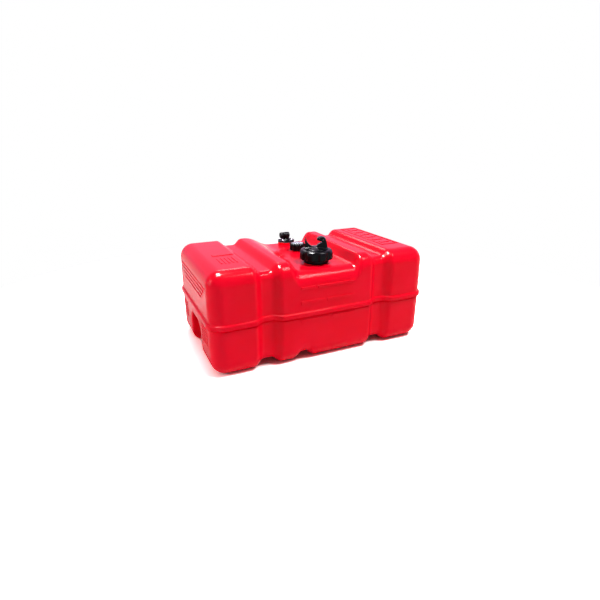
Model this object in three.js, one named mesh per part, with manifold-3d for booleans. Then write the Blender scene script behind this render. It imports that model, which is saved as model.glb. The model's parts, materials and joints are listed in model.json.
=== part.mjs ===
// A portable fuel tank for an outboard motor: a hollow moulded plastic body of about 45 litres with
// two strap grooves, and three fittings that stand in a recess in its top. From front to back they are
// a vented filler cap, a float gauge and a pickup with a swivelling hose outlet.
// Millimetres, +Z up, the long side facing -Y, the origin under the middle of the base.

import * as THREE from "three";
import { mergeVertices } from "three/addons/utils/BufferGeometryUtils.js";
import Module from "manifold-3d";

const wasm = await Module();
wasm.setup();

// Driving dimensions

const gap = 0.3; // between two pieces that touch
const overrun = 2; // how far a cutter runs past the face that it cuts
const weldTolerance = 1e-4; // corners closer than this are one corner

const tank = {
  length: 600,
  width: 352,
  height: 260,
  partingHeight: 130,
  edgeRadius: 36,
  softening: 7, // how far each channel's corners are eased
  wall: 4,
  leastRadius: 1.5,
};
const draftAngle = THREE.MathUtils.degToRad(0.5);

const bead = { height: 14, proud: 4.5 }; // the band round the parting line

// Channels across the length: the place of the floor's middle, its width, the two flanks and the depth.
// The recess's left flank swings by the skew from back to front, more so towards the front.
const strapGroove = { centre: 157.5, floorWidth: 31, flank: 16.5, depth: 16 };
const recess = {
  centre: 14,
  floorWidth: 138,
  leftFlank: 41,
  rightFlank: 14,
  depth: 26,
  skew: 22,
  bowShare: 0.6,
};
const drainNotch = { centre: -58.5, floorWidth: 23, leftFlank: 18, rightFlank: 12, depth: 16 };

const pocket = { width: 104, top: 97, depth: 42, cornerRadius: 26 }; // hand hold under each end

// The three fittings stand in a row on the recess floor, each a little off its middle line. The filler
// keeps to the front face, the pickup to the back face and the gauge to the middle.
const fillerStand = { offset: -9.5, frontInset: 81 };
const gaugeStand = { offset: -2, behindMiddle: 37 };
const pickupStand = { offset: 3, backInset: 46 };

const neck = {
  boreRadius: 22.5,
  wall: 3.5,
  height: 20.5,
  collarWidth: 6.5,
  collarHeight: 1,
};
const thread = { depth: 2, pitch: 6, turns: 1.75, rootWidth: 3.4, crestWidth: 1.4, start: 5 };

const cap = {
  threadClearance: 0.6, // between the two threads' crests, so that the cap also lifts straight off
  insertWall: 2,
  liftOff: 0.7, // from the neck's collar to the insert's lower rim
  rimShown: 9.8, // how much of the insert shows under the grip shell
  deckThickness: 4,
  gripWall: 10.9,
  gripHeight: 20,
  shoulderHeight: 5,
  topRadius: 33,
  shellThickness: 3,
  bottomChamfer: 1.5,
  fluteCount: 8,
  fluteRadius: 12,
  fluteDepth: 4.5,
  fluteHeight: 21,
};
const capGasket = { width: 3.5, thickness: 2.5 };
const slipRing = { thickness: 1.2 };

const ventDial = {
  radius: 30,
  thickness: 4.2,
  edgeHeight: 1.2,
  angle: THREE.MathUtils.degToRad(-25),
  stemRadius: 5.5,
  earHeight: 27.5,
  earThickness: 17,
  finHeight: 25,
  finThickness: 8,
};
const ventSeal = { radius: 8, thickness: 2, portRadius: 4 };

const gaugeBoss = { boreRadius: 13, wall: 4, height: 9, depthBelow: 8 };
const gaugeRing = {
  clearance: 0.8, // round the boss and the head
  valleyWall: 2.4,
  lobeDepth: 2.4,
  lobeCount: 10,
  bottomLift: 3, // from the recess floor to the ring's lower face
  lipThickness: 2,
  lipWidth: 2.4,
};
const gaugeHead = {
  gasketThickness: 2,
  flangeThickness: 2.4,
  cupWall: 1.4,
  cupHeight: 5.5,
  stemClearance: 0.6, // between the head's stem and the boss's bore
  stemDepth: 17.5, // below the flange
  bearingRadius: 2.4,
};
const gaugeLens = { flangeThickness: 1.2, domeHeight: 1.8 };
const gaugeDial = { thickness: 1.2, clearance: 0.5 };
const pointer = { lift: 1, thickness: 0.8, hubRadius: 3.4, reach: 12.5, tail: 5, width: 1.8 };
const spindle = { journalRadius: 2, stripWidth: 7, stripThickness: 1.2, pivotRadius: 1.5, twistTurns: 0.5 };
const guideRod = { radius: 1.6, offset: 8.5 };
const gaugeFoot = { height: 22, thickness: 3, radius: 11, bearingClearance: 0.4 };
const gaugeFloat = { radius: 11.5, height: 24, boreRadius: 5, rodClearance: 0.8, travel: 170 };
const floatDriver = { radius: 6.2, thickness: 1.5, slotClearance: 0.6 };

const pickupBoss = { boreRadius: 12.5, radius: 25, height: 7, depthBelow: 10 };
const pickupFlange = {
  radius: 24.5,
  thickness: 3,
  gasketThickness: 2,
  postRadius: 11,
  postHeight: 3.5,
  sleeveRadius: 7,
  sleeveDepth: 6,
  passageRadius: 3,
  chamberClearance: 0.7,
  chamberRadius: 5.2,
  chamberDepth: 16,
  chamberRoof: 2,
};
const pickupScrew = {
  count: 4,
  circleRadius: 19,
  shankRadius: 1.6,
  length: 13,
  headRadius: 3.6,
  headHeight: 2.2,
  holeClearance: 0.4,
};
const slot = { width: 0.9, depth: 1 }; // the driver slot in a screw's head
const elbow = {
  bodyRadius: 9,
  spigotClearance: 0.4,
  axisRise: 10.2, // from the top of the post to the outlet's centre line
  backReach: 9,
  frontReach: 9.5,
  barbRadius: 4.2,
  barbLength: 8.2,
  ridgeHeight: 0.9,
  ridgeLength: 4,
  boreRadius: 2.4,
};
const oRing = { thickness: 1.4, seat: 2.4 };
const dustCap = { length: 10, endWall: 2, clearance: 0.5, cornerChamfer: 1.6 };
const nipple = {
  plugHeight: 3,
  seatRadius: 2.5,
  flangeRadius: 7.5,
  flangeThickness: 2,
  spigotLength: 9,
  spigotWall: 1.1,
};
const checkBall = { radius: 4 };
const checkSpring = { wireRadius: 0.45, turns: 5 };
const dipTube = { wall: 1.3, floorClearance: 9 };
const strainer = {
  floorClearance: 5,
  height: 26,
  wall: 1.4,
  baseThickness: 2,
  windowCount: 6,
  windowShare: 0.55,
  windowMargin: 3,
};

// Sizes that follow from the driving dimensions

const floorHeight = tank.height - recess.depth; // the recess floor
const fillerPlace = { x: recess.centre + fillerStand.offset, y: fillerStand.frontInset - tank.width / 2 };
const gaugePlace = { x: recess.centre + gaugeStand.offset, y: gaugeStand.behindMiddle };
const pickupPlace = { x: recess.centre + pickupStand.offset, y: tank.width / 2 - pickupStand.backInset };

const neckRadius = neck.boreRadius + neck.wall;
const threadCrestRadius = neckRadius + thread.depth;
const collarRadius = neckRadius + neck.collarWidth;

const insertBoreRadius = threadCrestRadius + cap.threadClearance + thread.depth;
const insertRadius = insertBoreRadius + cap.insertWall;
const insertBottom = neck.collarHeight + cap.liftOff;
const gasketBottom = neck.height + gap;
const slipRingBottom = gasketBottom + capGasket.thickness + gap;
const deckBottom = slipRingBottom + slipRing.thickness + gap;
const deckTop = deckBottom + cap.deckThickness;
const gripRadius = insertRadius + cap.gripWall;
const gripBottom = insertBottom + cap.rimShown;
const shoulderBottom = gripBottom + cap.gripHeight;
const capTop = shoulderBottom + cap.shoulderHeight;
const sealBottom = deckTop + gap;
const stemBottom = sealBottom + ventSeal.thickness + gap;
const dialBottom = capTop + gap;
const dialTop = dialBottom + ventDial.thickness;

const gaugeBossRadius = gaugeBoss.boreRadius + gaugeBoss.wall;
const gaugeFlangeBottom = gaugeBoss.height + gaugeHead.gasketThickness + 2 * gap;
const gaugeFlangeTop = gaugeFlangeBottom + gaugeHead.flangeThickness;
const gaugeCupTop = gaugeFlangeTop + gaugeHead.cupHeight;
const gaugeHeadBottom = gaugeFlangeBottom - gaugeHead.stemDepth;
const gaugeLensBottom = gaugeCupTop + gap;
const gaugeLipBottom = gaugeLensBottom + gaugeLens.flangeThickness + gap;
const gaugeRingTop = gaugeLipBottom + gaugeRing.lipThickness;
const gaugeRingBoreRadius = gaugeBossRadius + gaugeRing.clearance;
const gaugeLipRadius = gaugeRingBoreRadius - gaugeRing.lipWidth;
const gaugeDialBottom = gaugeFlangeTop + gap;
const pointerBottom = gaugeDialBottom + gaugeDial.thickness + pointer.lift;
const gaugeFootTop = gaugeFoot.height + gaugeFoot.thickness - floorHeight;
const floatBottom = gaugeFootTop + gap;
const driverBottom = floatBottom + gaugeFloat.height + gap;

const pickupFlangeBottom = pickupBoss.height + pickupFlange.gasketThickness + 2 * gap;
const pickupFlangeTop = pickupFlangeBottom + pickupFlange.thickness;
const postTop = pickupFlangeTop + pickupFlange.postHeight;
const sleeveBottom = postTop - pickupFlange.sleeveDepth;
const chamberTop = pickupFlangeBottom - pickupFlange.chamberRoof;
const chamberBottom = chamberTop - pickupFlange.chamberDepth - nipple.plugHeight;
const seatHeight = chamberBottom + nipple.plugHeight;
const elbowBottom = postTop + gap;
const outletHeight = elbowBottom + elbow.axisRise;
const spigotRadius = pickupFlange.sleeveRadius - elbow.spigotClearance;
const dipTubeBore = nipple.seatRadius + nipple.spigotWall + gap;
const dipTubeRadius = dipTubeBore + dipTube.wall;
const dipTubeTop = chamberBottom - gap - nipple.flangeThickness - gap;
const dipTubeBottom = dipTube.floorClearance + tank.wall - floorHeight;
const strainerBottom = strainer.floorClearance + tank.wall - floorHeight;

// Materials

const material = (color, roughness, metalness = 0) =>
  new THREE.MeshStandardMaterial({ color, roughness, metalness });
const redPlastic = material(0xe01030, 0.42);
const blackPlastic = material(0x17191b, 0.45);
const blackRubber = material(0x101112, 0.8);
const clearPlastic = new THREE.MeshStandardMaterial({
  color: 0xe6f0f0,
  roughness: 0.08,
  transparent: true,
  opacity: 0.35,
});
const dialWhite = material(0xf2f2ee, 0.5);
const pointerRed = material(0xc8102e, 0.4);
const platedSteel = material(0xb8bcc0, 0.35, 1);
const floatFoam = material(0x2b2724, 0.9);
const tubePlastic = material(0xd9d8cf, 0.5);

// Solids: making, joining and cutting

function solidFrom(geometry) {
  const plain = new THREE.BufferGeometry();
  plain.setAttribute("position", geometry.getAttribute("position"));
  if (geometry.index) plain.setIndex(geometry.index);
  const merged = mergeVertices(plain, weldTolerance);
  const kept = [];
  const corners = merged.index.array;
  for (let i = 0; i < corners.length; i += 3) {
    const [a, b, c] = [corners[i], corners[i + 1], corners[i + 2]];
    if (a !== b && b !== c && c !== a) kept.push(a, b, c);
  }
  return new wasm.Manifold(
    new wasm.Mesh({
      numProp: 3,
      vertProperties: merged.attributes.position.array,
      triVerts: new Uint32Array(kept),
    }),
  );
}

function geometryFrom(solid) {
  const { numProp, vertProperties, triVerts } = solid.getMesh();
  const positions = new Float32Array((vertProperties.length / numProp) * 3);
  for (let i = 0; i < positions.length / 3; i += 1) {
    positions.set(vertProperties.subarray(i * numProp, i * numProp + 3), i * 3);
  }
  const geometry = new THREE.BufferGeometry();
  geometry.setAttribute("position", new THREE.BufferAttribute(positions, 3));
  geometry.setIndex(new THREE.BufferAttribute(new Uint32Array(triVerts), 1));
  geometry.computeVertexNormals();
  return geometry;
}

const union = (first, ...rest) => rest.reduce((whole, part) => whole.add(part), first);
const cut = (first, ...cutters) => cutters.reduce((whole, cutter) => whole.subtract(cutter), first);

// A turned solid about +Z from [radius, height] pairs, which start and end on the axis.
function turned(profile, segments) {
  const points = profile.map(([radius, height]) => new THREE.Vector2(radius, height));
  const geometry = new THREE.LatheGeometry(points, segments).rotateX(Math.PI / 2);
  const solid = solidFrom(geometry);
  return solid.volume() < 0 ? solidFrom(flipped(geometry)) : solid;
}

function flipped(geometry) {
  const index = geometry.index.array;
  for (let i = 0; i < index.length; i += 3) [index[i], index[i + 1]] = [index[i + 1], index[i]];
  return geometry;
}

const rod = (radius, low, high, segments) =>
  turned([[0, low], [radius, low], [radius, high], [0, high]], segments);

const ring = (inner, outer, low, high, segments) =>
  turned([[inner, low], [outer, low], [outer, high], [inner, high], [inner, low]], segments);

// A flat shape given height along +Z.
function raised(shape, low, high, curveSegments = 6) {
  const geometry = new THREE.ExtrudeGeometry(shape, {
    depth: high - low,
    bevelEnabled: false,
    curveSegments,
  });
  return solidFrom(geometry.translate(0, 0, low));
}

// A solid skinned over rings of points, with as many points in each ring.
function lofted(rings, capStart, capEnd) {
  const count = rings[0].length;
  const positions = rings.flat().flatMap((point) => point.toArray());
  const index = [];
  for (let i = 0; i + 1 < rings.length; i += 1) {
    for (let j = 0; j < count; j += 1) {
      const [a, b] = [i * count + j, i * count + ((j + 1) % count)];
      index.push(a, b, a + count, b, b + count, a + count);
    }
  }
  const last = (rings.length - 1) * count;
  for (const [a, b, c] of capStart) index.push(a, c, b);
  for (const [a, b, c] of capEnd) index.push(last + a, last + b, last + c);
  const geometry = new THREE.BufferGeometry();
  geometry.setAttribute("position", new THREE.Float32BufferAttribute(positions, 3));
  geometry.setIndex(index);
  const solid = solidFrom(geometry);
  return solid.volume() < 0 ? solidFrom(flipped(geometry)) : solid;
}

// The triangles of a fan over the points of a convex outline, from its first point.
const fan = (points) => points.slice(1, -1).map((point, i) => [points[0], point, points[i + 2]]);

const countTo = (count) => Array.from({ length: count }, (_, i) => i);

// The tank body

// [place, depth] pairs across a channel, wider by growth on both sides.
function channelProfile({ centre, floorWidth, flank, leftFlank = flank, rightFlank = flank, depth }, growth) {
  const left = centre - floorWidth / 2 - growth;
  const right = centre + floorWidth / 2 + growth;
  return [[left - leftFlank, 0], [left, depth], [right, depth], [right + rightFlank, 0]];
}

// The same profile with each corner eased over a short length, never past the middle of a side.
function softened(profile, length) {
  return profile.flatMap(([x, depth], i) => {
    const before = profile[i - 1] ?? [x - 2 * length, depth];
    const after = profile[i + 1] ?? [x + 2 * length, depth];
    const eased = [before, after].map(([toX, toDepth]) => {
      const share = Math.min(0.5, length / Math.hypot(toX - x, toDepth - depth));
      return [x + (toX - x) * share, depth + (toDepth - depth) * share];
    });
    const middle = [0, 1].map((k) => ([x, depth][k] + (eased[0][k] + eased[1][k]) / 2) / 2);
    return [eased[0], middle, eased[1]];
  });
}

function depthAt(profile, x) {
  const next = profile.findIndex(([place]) => place >= x);
  if (next < 0) return 0;
  if (next === 0) return profile[0][0] === x ? profile[0][1] : 0;
  const [[x0, depth0], [x1, depth1]] = [profile[next - 1], profile[next]];
  return depth0 + ((depth1 - depth0) * (x - x0)) / (x1 - x0);
}

// The tank's outer form, grown outwards by an offset. A negative offset gives the form of the hollow inside.
function tankForm(offset, soft, cornerSteps) {
  const ease = (profile) => (soft > 0 ? softened(profile, soft) : profile);
  const grooves = [-1, 1].map((side) =>
    ease(channelProfile({ ...strapGroove, centre: side * strapGroove.centre }, -offset)),
  );
  const top = ease(channelProfile(recess, -offset));
  const bottom = ease(channelProfile(drainNotch, -offset));
  const skewProfile = [top[0], top[Math.ceil(top.length / 2) - 1], top[top.length - 1]].map(
    ([x], i) => [x, i === 1 ? recess.skew : 0],
  );
  const halfLength = tank.length / 2 + offset;
  const endRadius = tank.edgeRadius + offset;
  const endSteps = countTo(cornerSteps + 1).map((i) => (i / cornerSteps) * (Math.PI / 2));
  const ends = endSteps.map((angle) => ({
    x: halfLength - endRadius + endRadius * Math.sin(angle),
    inset: endRadius - endRadius * Math.cos(angle),
  }));
  const places = [...grooves.flat(), ...top, ...bottom].map(([x]) => x);
  const between = [...new Set(places)].sort((a, b) => a - b);
  const stations = [
    ...ends.map(({ x, inset }) => ({ x: -x, inset, lean: 1 })).reverse(),
    ...between.map((x) => ({
      x,
      inset: Math.max(...grooves.map((profile) => depthAt(profile, x))),
      drop: depthAt(top, x),
      rise: depthAt(bottom, x),
      skew: depthAt(skewProfile, x),
    })),
    ...ends.map(({ x, inset }) => ({ x, inset, lean: -1 })),
  ];
  const rings = stations.map((station) => tankRing(station, offset, cornerSteps));
  const half = 2 * (cornerSteps + 1);
  const [backMiddle, frontMiddle] = [half, 2 * half + 1];
  const lower = fan([backMiddle, frontMiddle, ...countTo(half)]);
  const upper = fan([frontMiddle, ...countTo(half + 1).map((i) => half + i)]);
  return lofted(rings, [...lower, ...upper], [...lower, ...upper]);
}

// One cross-section: a rounded rectangle whose sides lean in above and below the parting line.
function tankRing({ x, inset, drop = 0, rise = 0, skew = 0, lean = 0 }, offset, cornerSteps) {
  const side = tank.width / 2 + offset - inset;
  const low = inset + rise - offset;
  const high = tank.height - inset - drop + offset;
  const radius = Math.max(tank.edgeRadius + offset - inset, tank.leastRadius);
  const corner = (y, z, turn) =>
    countTo(cornerSteps + 1).map((i) => {
      const angle = (turn + i / cornerSteps) * (Math.PI / 2);
      return [y + radius * Math.cos(angle), z + radius * Math.sin(angle)];
    });
  const outline = [
    ...corner(-side + radius, low + radius, 2),
    ...corner(side - radius, low + radius, 3),
    [side, tank.partingHeight],
    ...corner(side - radius, high - radius, 0),
    ...corner(-side + radius, high - radius, 1),
    [-side, tank.partingHeight],
  ];
  return outline.map(([y, z]) => {
    const drawn = Math.abs(z - tank.partingHeight) * Math.tan(draftAngle);
    const height = Math.max(0, (z - tank.partingHeight) / (tank.height - tank.partingHeight));
    const across = y / side;
    const skewed = skew * height * across * (1 - recess.bowShare * across);
    return new THREE.Vector3(x + lean * drawn + skewed, y - Math.sign(y) * drawn, z);
  });
}

// The hand hold under one end, grown by the wall where it shapes the hollow inside.
function pocketCutter(side, growth) {
  const half = pocket.width / 2 + growth;
  const top = pocket.top + growth;
  const radius = pocket.cornerRadius + growth;
  const shape = new THREE.Shape();
  shape.moveTo(-half, -overrun);
  shape.lineTo(half, -overrun);
  shape.lineTo(half, top - radius);
  shape.absarc(half - radius, top - radius, radius, 0, Math.PI / 2);
  shape.absarc(-half + radius, top - radius, radius, Math.PI / 2, Math.PI);
  const depth = pocket.depth + growth;
  const cutter = new THREE.ExtrudeGeometry(shape, {
    depth: depth + overrun + bead.proud,
    bevelEnabled: false,
    curveSegments: 5,
  });
  const inner = tank.length / 2 - depth;
  const turnedToX = new THREE.Matrix4().makeBasis(
    new THREE.Vector3(0, side, 0),
    new THREE.Vector3(0, 0, 1),
    new THREE.Vector3(side, 0, 0),
  );
  return solidFrom(cutter.applyMatrix4(turnedToX).translate(side * inner, 0, 0));
}

// A raised helical ridge, its root at one radius and its crest at another.
function helicalRidge(rootRadius, crestRadius, start) {
  const sunk = rootRadius + Math.sign(rootRadius - crestRadius) * gap;
  const steps = Math.round(thread.turns * 20);
  const rings = countTo(steps + 1).map((i) => {
    const angle = (i / steps) * thread.turns * 2 * Math.PI;
    const height = start + (angle / (2 * Math.PI)) * thread.pitch;
    const corners = [
      [sunk, -thread.rootWidth / 2],
      [crestRadius, -thread.crestWidth / 2],
      [crestRadius, thread.crestWidth / 2],
      [sunk, thread.rootWidth / 2],
    ];
    return corners.map(
      ([radius, rise]) =>
        new THREE.Vector3(radius * Math.cos(angle), radius * Math.sin(angle), height + rise),
    );
  });
  const end = fan(countTo(4));
  return lofted(rings, end, end);
}

function tankBody() {
  const outer = tankForm(0, tank.softening, 5);
  const band = tankForm(bead.proud, tank.softening, 5).intersect(
    solidFrom(
      new THREE.BoxGeometry(2 * tank.length, 2 * tank.width, bead.height).translate(
        0,
        0,
        tank.partingHeight,
      ),
    ),
  );
  const hollow = cut(tankForm(-tank.wall, 0, 3), pocketCutter(-1, tank.wall), pocketCutter(1, tank.wall));
  const shell = cut(union(outer, band), pocketCutter(-1, 0), pocketCutter(1, 0), hollow);
  const at = (solid, place) => solid.translate([place.x, place.y, floorHeight]);
  const fillerNeck = union(
    ring(neck.boreRadius, neckRadius, -tank.wall, neck.height, 40),
    ring(neck.boreRadius, collarRadius, -tank.wall, neck.collarHeight, 40),
    helicalRidge(neckRadius, threadCrestRadius, neck.collarHeight + thread.start),
  );
  const boss = ring(gaugeBoss.boreRadius, gaugeBossRadius, -gaugeBoss.depthBelow, gaugeBoss.height, 36);
  const pad = ring(pickupBoss.boreRadius, pickupBoss.radius, -pickupBoss.depthBelow, pickupBoss.height, 36);
  const bore = (radius, segments) => rod(radius, -tank.wall - overrun, overrun, segments);
  return cut(
    union(
      cut(
        shell,
        at(bore(neck.boreRadius, 40), fillerPlace),
        at(bore(gaugeBoss.boreRadius, 36), gaugePlace),
        at(bore(pickupBoss.boreRadius, 36), pickupPlace),
      ),
      at(fillerNeck, fillerPlace),
      at(boss, gaugePlace),
      at(pad, pickupPlace),
    ),
    ...screwPlaces().map(({ x, y }) =>
      at(
        rod(
          pickupScrew.shankRadius + gap,
          pickupFlangeTop - pickupScrew.length - gap,
          pickupBoss.height + overrun,
          12,
        ),
        { x: pickupPlace.x + x, y: pickupPlace.y + y },
      ),
    ),
  );
}

// The filler cap: a threaded insert, a fluted grip shell over it and the seals between

function capInsert() {
  const cup = cut(
    rod(insertRadius, insertBottom, deckTop, 40),
    rod(insertBoreRadius, insertBottom - overrun, deckBottom, 40),
    rod(ventSeal.portRadius, deckBottom - overrun, deckTop + overrun, 24),
  );
  const start = neck.collarHeight + thread.start + thread.pitch / 2;
  return union(cup, helicalRidge(insertBoreRadius, threadCrestRadius + cap.threadClearance, start));
}

function capGripShell() {
  const shoulder = countTo(5).map((i) => {
    const angle = (i / 4) * (Math.PI / 2);
    return [
      cap.topRadius + (gripRadius - cap.topRadius) * Math.cos(angle),
      shoulderBottom + cap.shoulderHeight * Math.sin(angle),
    ];
  });
  const outside = turned(
    [
      [0, gripBottom],
      [gripRadius - cap.bottomChamfer, gripBottom],
      [gripRadius, gripBottom + cap.bottomChamfer],
      ...shoulder,
      [0, capTop],
    ],
    48,
  );
  const hollowTop = capTop - cap.shellThickness;
  const inside = turned(
    [
      [0, gripBottom - overrun],
      [insertRadius + gap, gripBottom - overrun],
      [insertRadius + gap, shoulderBottom],
      [cap.topRadius - cap.shellThickness, hollowTop],
      [0, hollowTop],
    ],
    48,
  );
  const flutePlace = gripRadius + cap.fluteRadius - cap.fluteDepth;
  const flutes = countTo(cap.fluteCount).map((i) => {
    const angle = ventDial.angle + ((i + 0.5) / cap.fluteCount) * 2 * Math.PI - Math.PI / cap.fluteCount;
    return rod(cap.fluteRadius, gripBottom - overrun, gripBottom + cap.fluteHeight, 16).translate([
      flutePlace * Math.cos(angle),
      flutePlace * Math.sin(angle),
      0,
    ]);
  });
  const stemHole = rod(ventDial.stemRadius + 2 * gap, hollowTop - overrun, capTop + overrun, 24);
  return cut(outside, inside, stemHole, ...flutes);
}

const capGasketRing = () =>
  ring(neckRadius - capGasket.width, neckRadius, gasketBottom, gasketBottom + capGasket.thickness, 40);

const capSlipRing = () =>
  ring(neckRadius - capGasket.width, neckRadius, slipRingBottom, slipRingBottom + slipRing.thickness, 40);

// The vent: a dial with a hooked ear and a fin to turn it by, and the seal under its stem

// The ear and the fin, seen from the side. Across is a share of the dial's radius, up a share of the height.
const earOutlineShares = [
  [-0.12, 0], [0.08, 0.2], [0.26, 0.36], [0.48, 0.46], [0.48, 0.52], [0.3, 0.58], [0.1, 0.65],
  [0.04, 0.78], [0.1, 0.9], [0.24, 0.98], [0.46, 1], [0.68, 0.93], [0.82, 0.74], [0.9, 0.4], [0.96, 0],
];
const finOutlineShares = [[-0.98, 0], [-0.97, 0.5], [-0.93, 1], [-0.8, 0.6], [-0.62, 0.22], [-0.4, 0]];

function uprightPlate(outlineShares, height, thickness) {
  const sunk = dialBottom + ventDial.edgeHeight;
  const shape = new THREE.Shape([
    new THREE.Vector2(outlineShares[0][0] * ventDial.radius, sunk),
    ...outlineShares.map(
      ([across, up]) => new THREE.Vector2(across * ventDial.radius, dialTop + up * height),
    ),
    new THREE.Vector2(outlineShares.at(-1)[0] * ventDial.radius, sunk),
  ]);
  const geometry = new THREE.ExtrudeGeometry(shape, { depth: thickness, bevelEnabled: false });
  return solidFrom(geometry.rotateX(Math.PI / 2).translate(0, thickness / 2, 0));
}

function ventDialKnob() {
  const edgeTop = dialBottom + ventDial.edgeHeight;
  const dome = countTo(5).map((i) => {
    const angle = (i / 5) * (Math.PI / 2);
    return [ventDial.radius * Math.cos(angle), edgeTop + (dialTop - edgeTop) * Math.sin(angle)];
  });
  const disc = turned([[0, dialBottom], [ventDial.radius, dialBottom], ...dome, [0, dialTop]], 40);
  const upright = union(
    uprightPlate(earOutlineShares, ventDial.earHeight, ventDial.earThickness),
    uprightPlate(finOutlineShares, ventDial.finHeight, ventDial.finThickness),
  ).intersect(rod(ventDial.radius, dialBottom, dialTop + ventDial.earHeight + overrun, 40));
  const stem = rod(ventDial.stemRadius, stemBottom, dialBottom + ventDial.thickness / 2, 24);
  return union(disc, upright, stem);
}

const ventSealDisc = () => rod(ventSeal.radius, sealBottom, sealBottom + ventSeal.thickness, 28);

// The float gauge: a float climbs two rods and turns a twisted strip, which carries the pointer

function gaugeRingNut() {
  const valleyRadius = gaugeRingBoreRadius + gaugeRing.valleyWall;
  const shape = new THREE.Shape(
    countTo(gaugeRing.lobeCount * 6).map((i) => {
      const angle = (i / (gaugeRing.lobeCount * 6)) * 2 * Math.PI;
      const bulge = 0.5 + 0.5 * Math.cos(gaugeRing.lobeCount * angle);
      const radius = valleyRadius + gaugeRing.lobeDepth * bulge;
      return new THREE.Vector2(radius * Math.cos(angle), radius * Math.sin(angle));
    }),
  );
  const chamfer = gaugeRing.lobeDepth;
  const grip = raised(shape, gaugeRing.bottomLift, gaugeRingTop).intersect(
    turned(
      [
        [0, gaugeRing.bottomLift],
        [valleyRadius + chamfer, gaugeRing.bottomLift],
        [valleyRadius + chamfer, gaugeRingTop - chamfer],
        [valleyRadius, gaugeRingTop],
        [0, gaugeRingTop],
      ],
      60,
    ),
  );
  return cut(
    grip,
    rod(gaugeRingBoreRadius, gaugeRing.bottomLift - overrun, gaugeLipBottom, 36),
    rod(gaugeLipRadius, gaugeLipBottom - overrun, gaugeRingTop + overrun, 36),
  );
}

const gaugeGasketRing = () =>
  ring(
    gaugeBoss.boreRadius,
    gaugeBossRadius,
    gaugeBoss.height + gap,
    gaugeBoss.height + gap + gaugeHead.gasketThickness,
    36,
  );

function gaugeHeadBody() {
  const stemRadius = gaugeBoss.boreRadius - gaugeHead.stemClearance;
  return union(
    ring(gaugeHead.bearingRadius, gaugeBossRadius, gaugeFlangeBottom, gaugeFlangeTop, 36),
    ring(gaugeBossRadius - gaugeHead.cupWall, gaugeBossRadius, gaugeFlangeTop - gap, gaugeCupTop, 36),
    ring(gaugeHead.bearingRadius, stemRadius, gaugeHeadBottom, gaugeFlangeBottom + gap, 36),
  );
}

const gaugeCupRadius = gaugeBossRadius - gaugeHead.cupWall;

const gaugeDialDisc = () =>
  ring(
    gaugeHead.bearingRadius,
    gaugeCupRadius - gaugeDial.clearance,
    gaugeDialBottom,
    gaugeDialBottom + gaugeDial.thickness,
    36,
  );

function gaugePointer() {
  const top = pointerBottom + pointer.thickness;
  const needle = new THREE.Shape([
    new THREE.Vector2(-pointer.tail, -pointer.width),
    new THREE.Vector2(pointer.reach, -gap),
    new THREE.Vector2(pointer.reach, gap),
    new THREE.Vector2(-pointer.tail, pointer.width),
  ]);
  return cut(
    union(raised(needle, pointerBottom, top), rod(pointer.hubRadius, pointerBottom, top, 24)),
    rod(spindle.journalRadius + gap, pointerBottom - overrun, top + overrun, 20),
  );
}

function gaugeLensDisc() {
  const dome = gaugeLipRadius - gaugeDial.clearance;
  const rise = countTo(5).map((i) => {
    const angle = (i / 4) * (Math.PI / 2);
    return [dome * Math.cos(angle), gaugeRingTop + gaugeLens.domeHeight * Math.sin(angle)];
  });
  const flangeTop = gaugeLensBottom + gaugeLens.flangeThickness;
  return turned(
    [
      [0, gaugeLensBottom],
      [gaugeBossRadius, gaugeLensBottom],
      [gaugeBossRadius, flangeTop],
      [dome, flangeTop],
      ...rise,
    ],
    36,
  );
}

// The strip's turn at a height. It is square to the rods' line where the driver rests.
function stripAngle(height) {
  const perLength = (spindle.twistTurns * 2 * Math.PI) / gaugeFloat.travel;
  return perLength * (height - driverBottom - floatDriver.thickness / 2);
}

function gaugeSpindle() {
  const low = gaugeFootTop + gap;
  const high = gaugeHeadBottom - gap;
  const steps = 40;
  const [halfWidth, halfThickness] = [spindle.stripWidth / 2, spindle.stripThickness / 2];
  const rings = countTo(steps + 1).map((i) => {
    const height = low + ((high - low) * i) / steps;
    const angle = stripAngle(height);
    const section = [[-1, -1], [1, -1], [1, 1], [-1, 1]];
    return section.map(([across, through]) =>
      new THREE.Vector3(through * halfThickness, across * halfWidth, height).applyAxisAngle(
        new THREE.Vector3(0, 0, 1),
        angle,
      ),
    );
  });
  const end = fan(countTo(4));
  return union(
    lofted(rings, end, end),
    rod(spindle.journalRadius, high - overrun, pointerBottom + pointer.thickness + gap, 20),
    rod(spindle.pivotRadius, low - gaugeFoot.thickness / 2, low + overrun, 16),
  );
}

function guideRodAt(side) {
  const plain = rod(guideRod.radius, gaugeFootTop + gap, gaugeHeadBottom - gap, 14);
  return plain.translate([side * guideRod.offset, 0, 0]);
}

function gaugeFootDisc() {
  const bottom = gaugeFootTop - gaugeFoot.thickness;
  return cut(
    rod(gaugeFoot.radius, bottom, gaugeFootTop, 32),
    rod(spindle.pivotRadius + gaugeFoot.bearingClearance, bottom - overrun, gaugeFootTop + overrun, 20),
  );
}

function gaugeFloatBody() {
  const top = floatBottom + gaugeFloat.height;
  const hole = (radius, x) => rod(radius, floatBottom - overrun, top + overrun, 18).translate([x, 0, 0]);
  const rodHole = guideRod.radius + gaugeFloat.rodClearance;
  return cut(
    rod(gaugeFloat.radius, floatBottom, top, 32),
    hole(gaugeFloat.boreRadius, 0),
    hole(rodHole, -guideRod.offset),
    hole(rodHole, guideRod.offset),
  );
}

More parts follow.
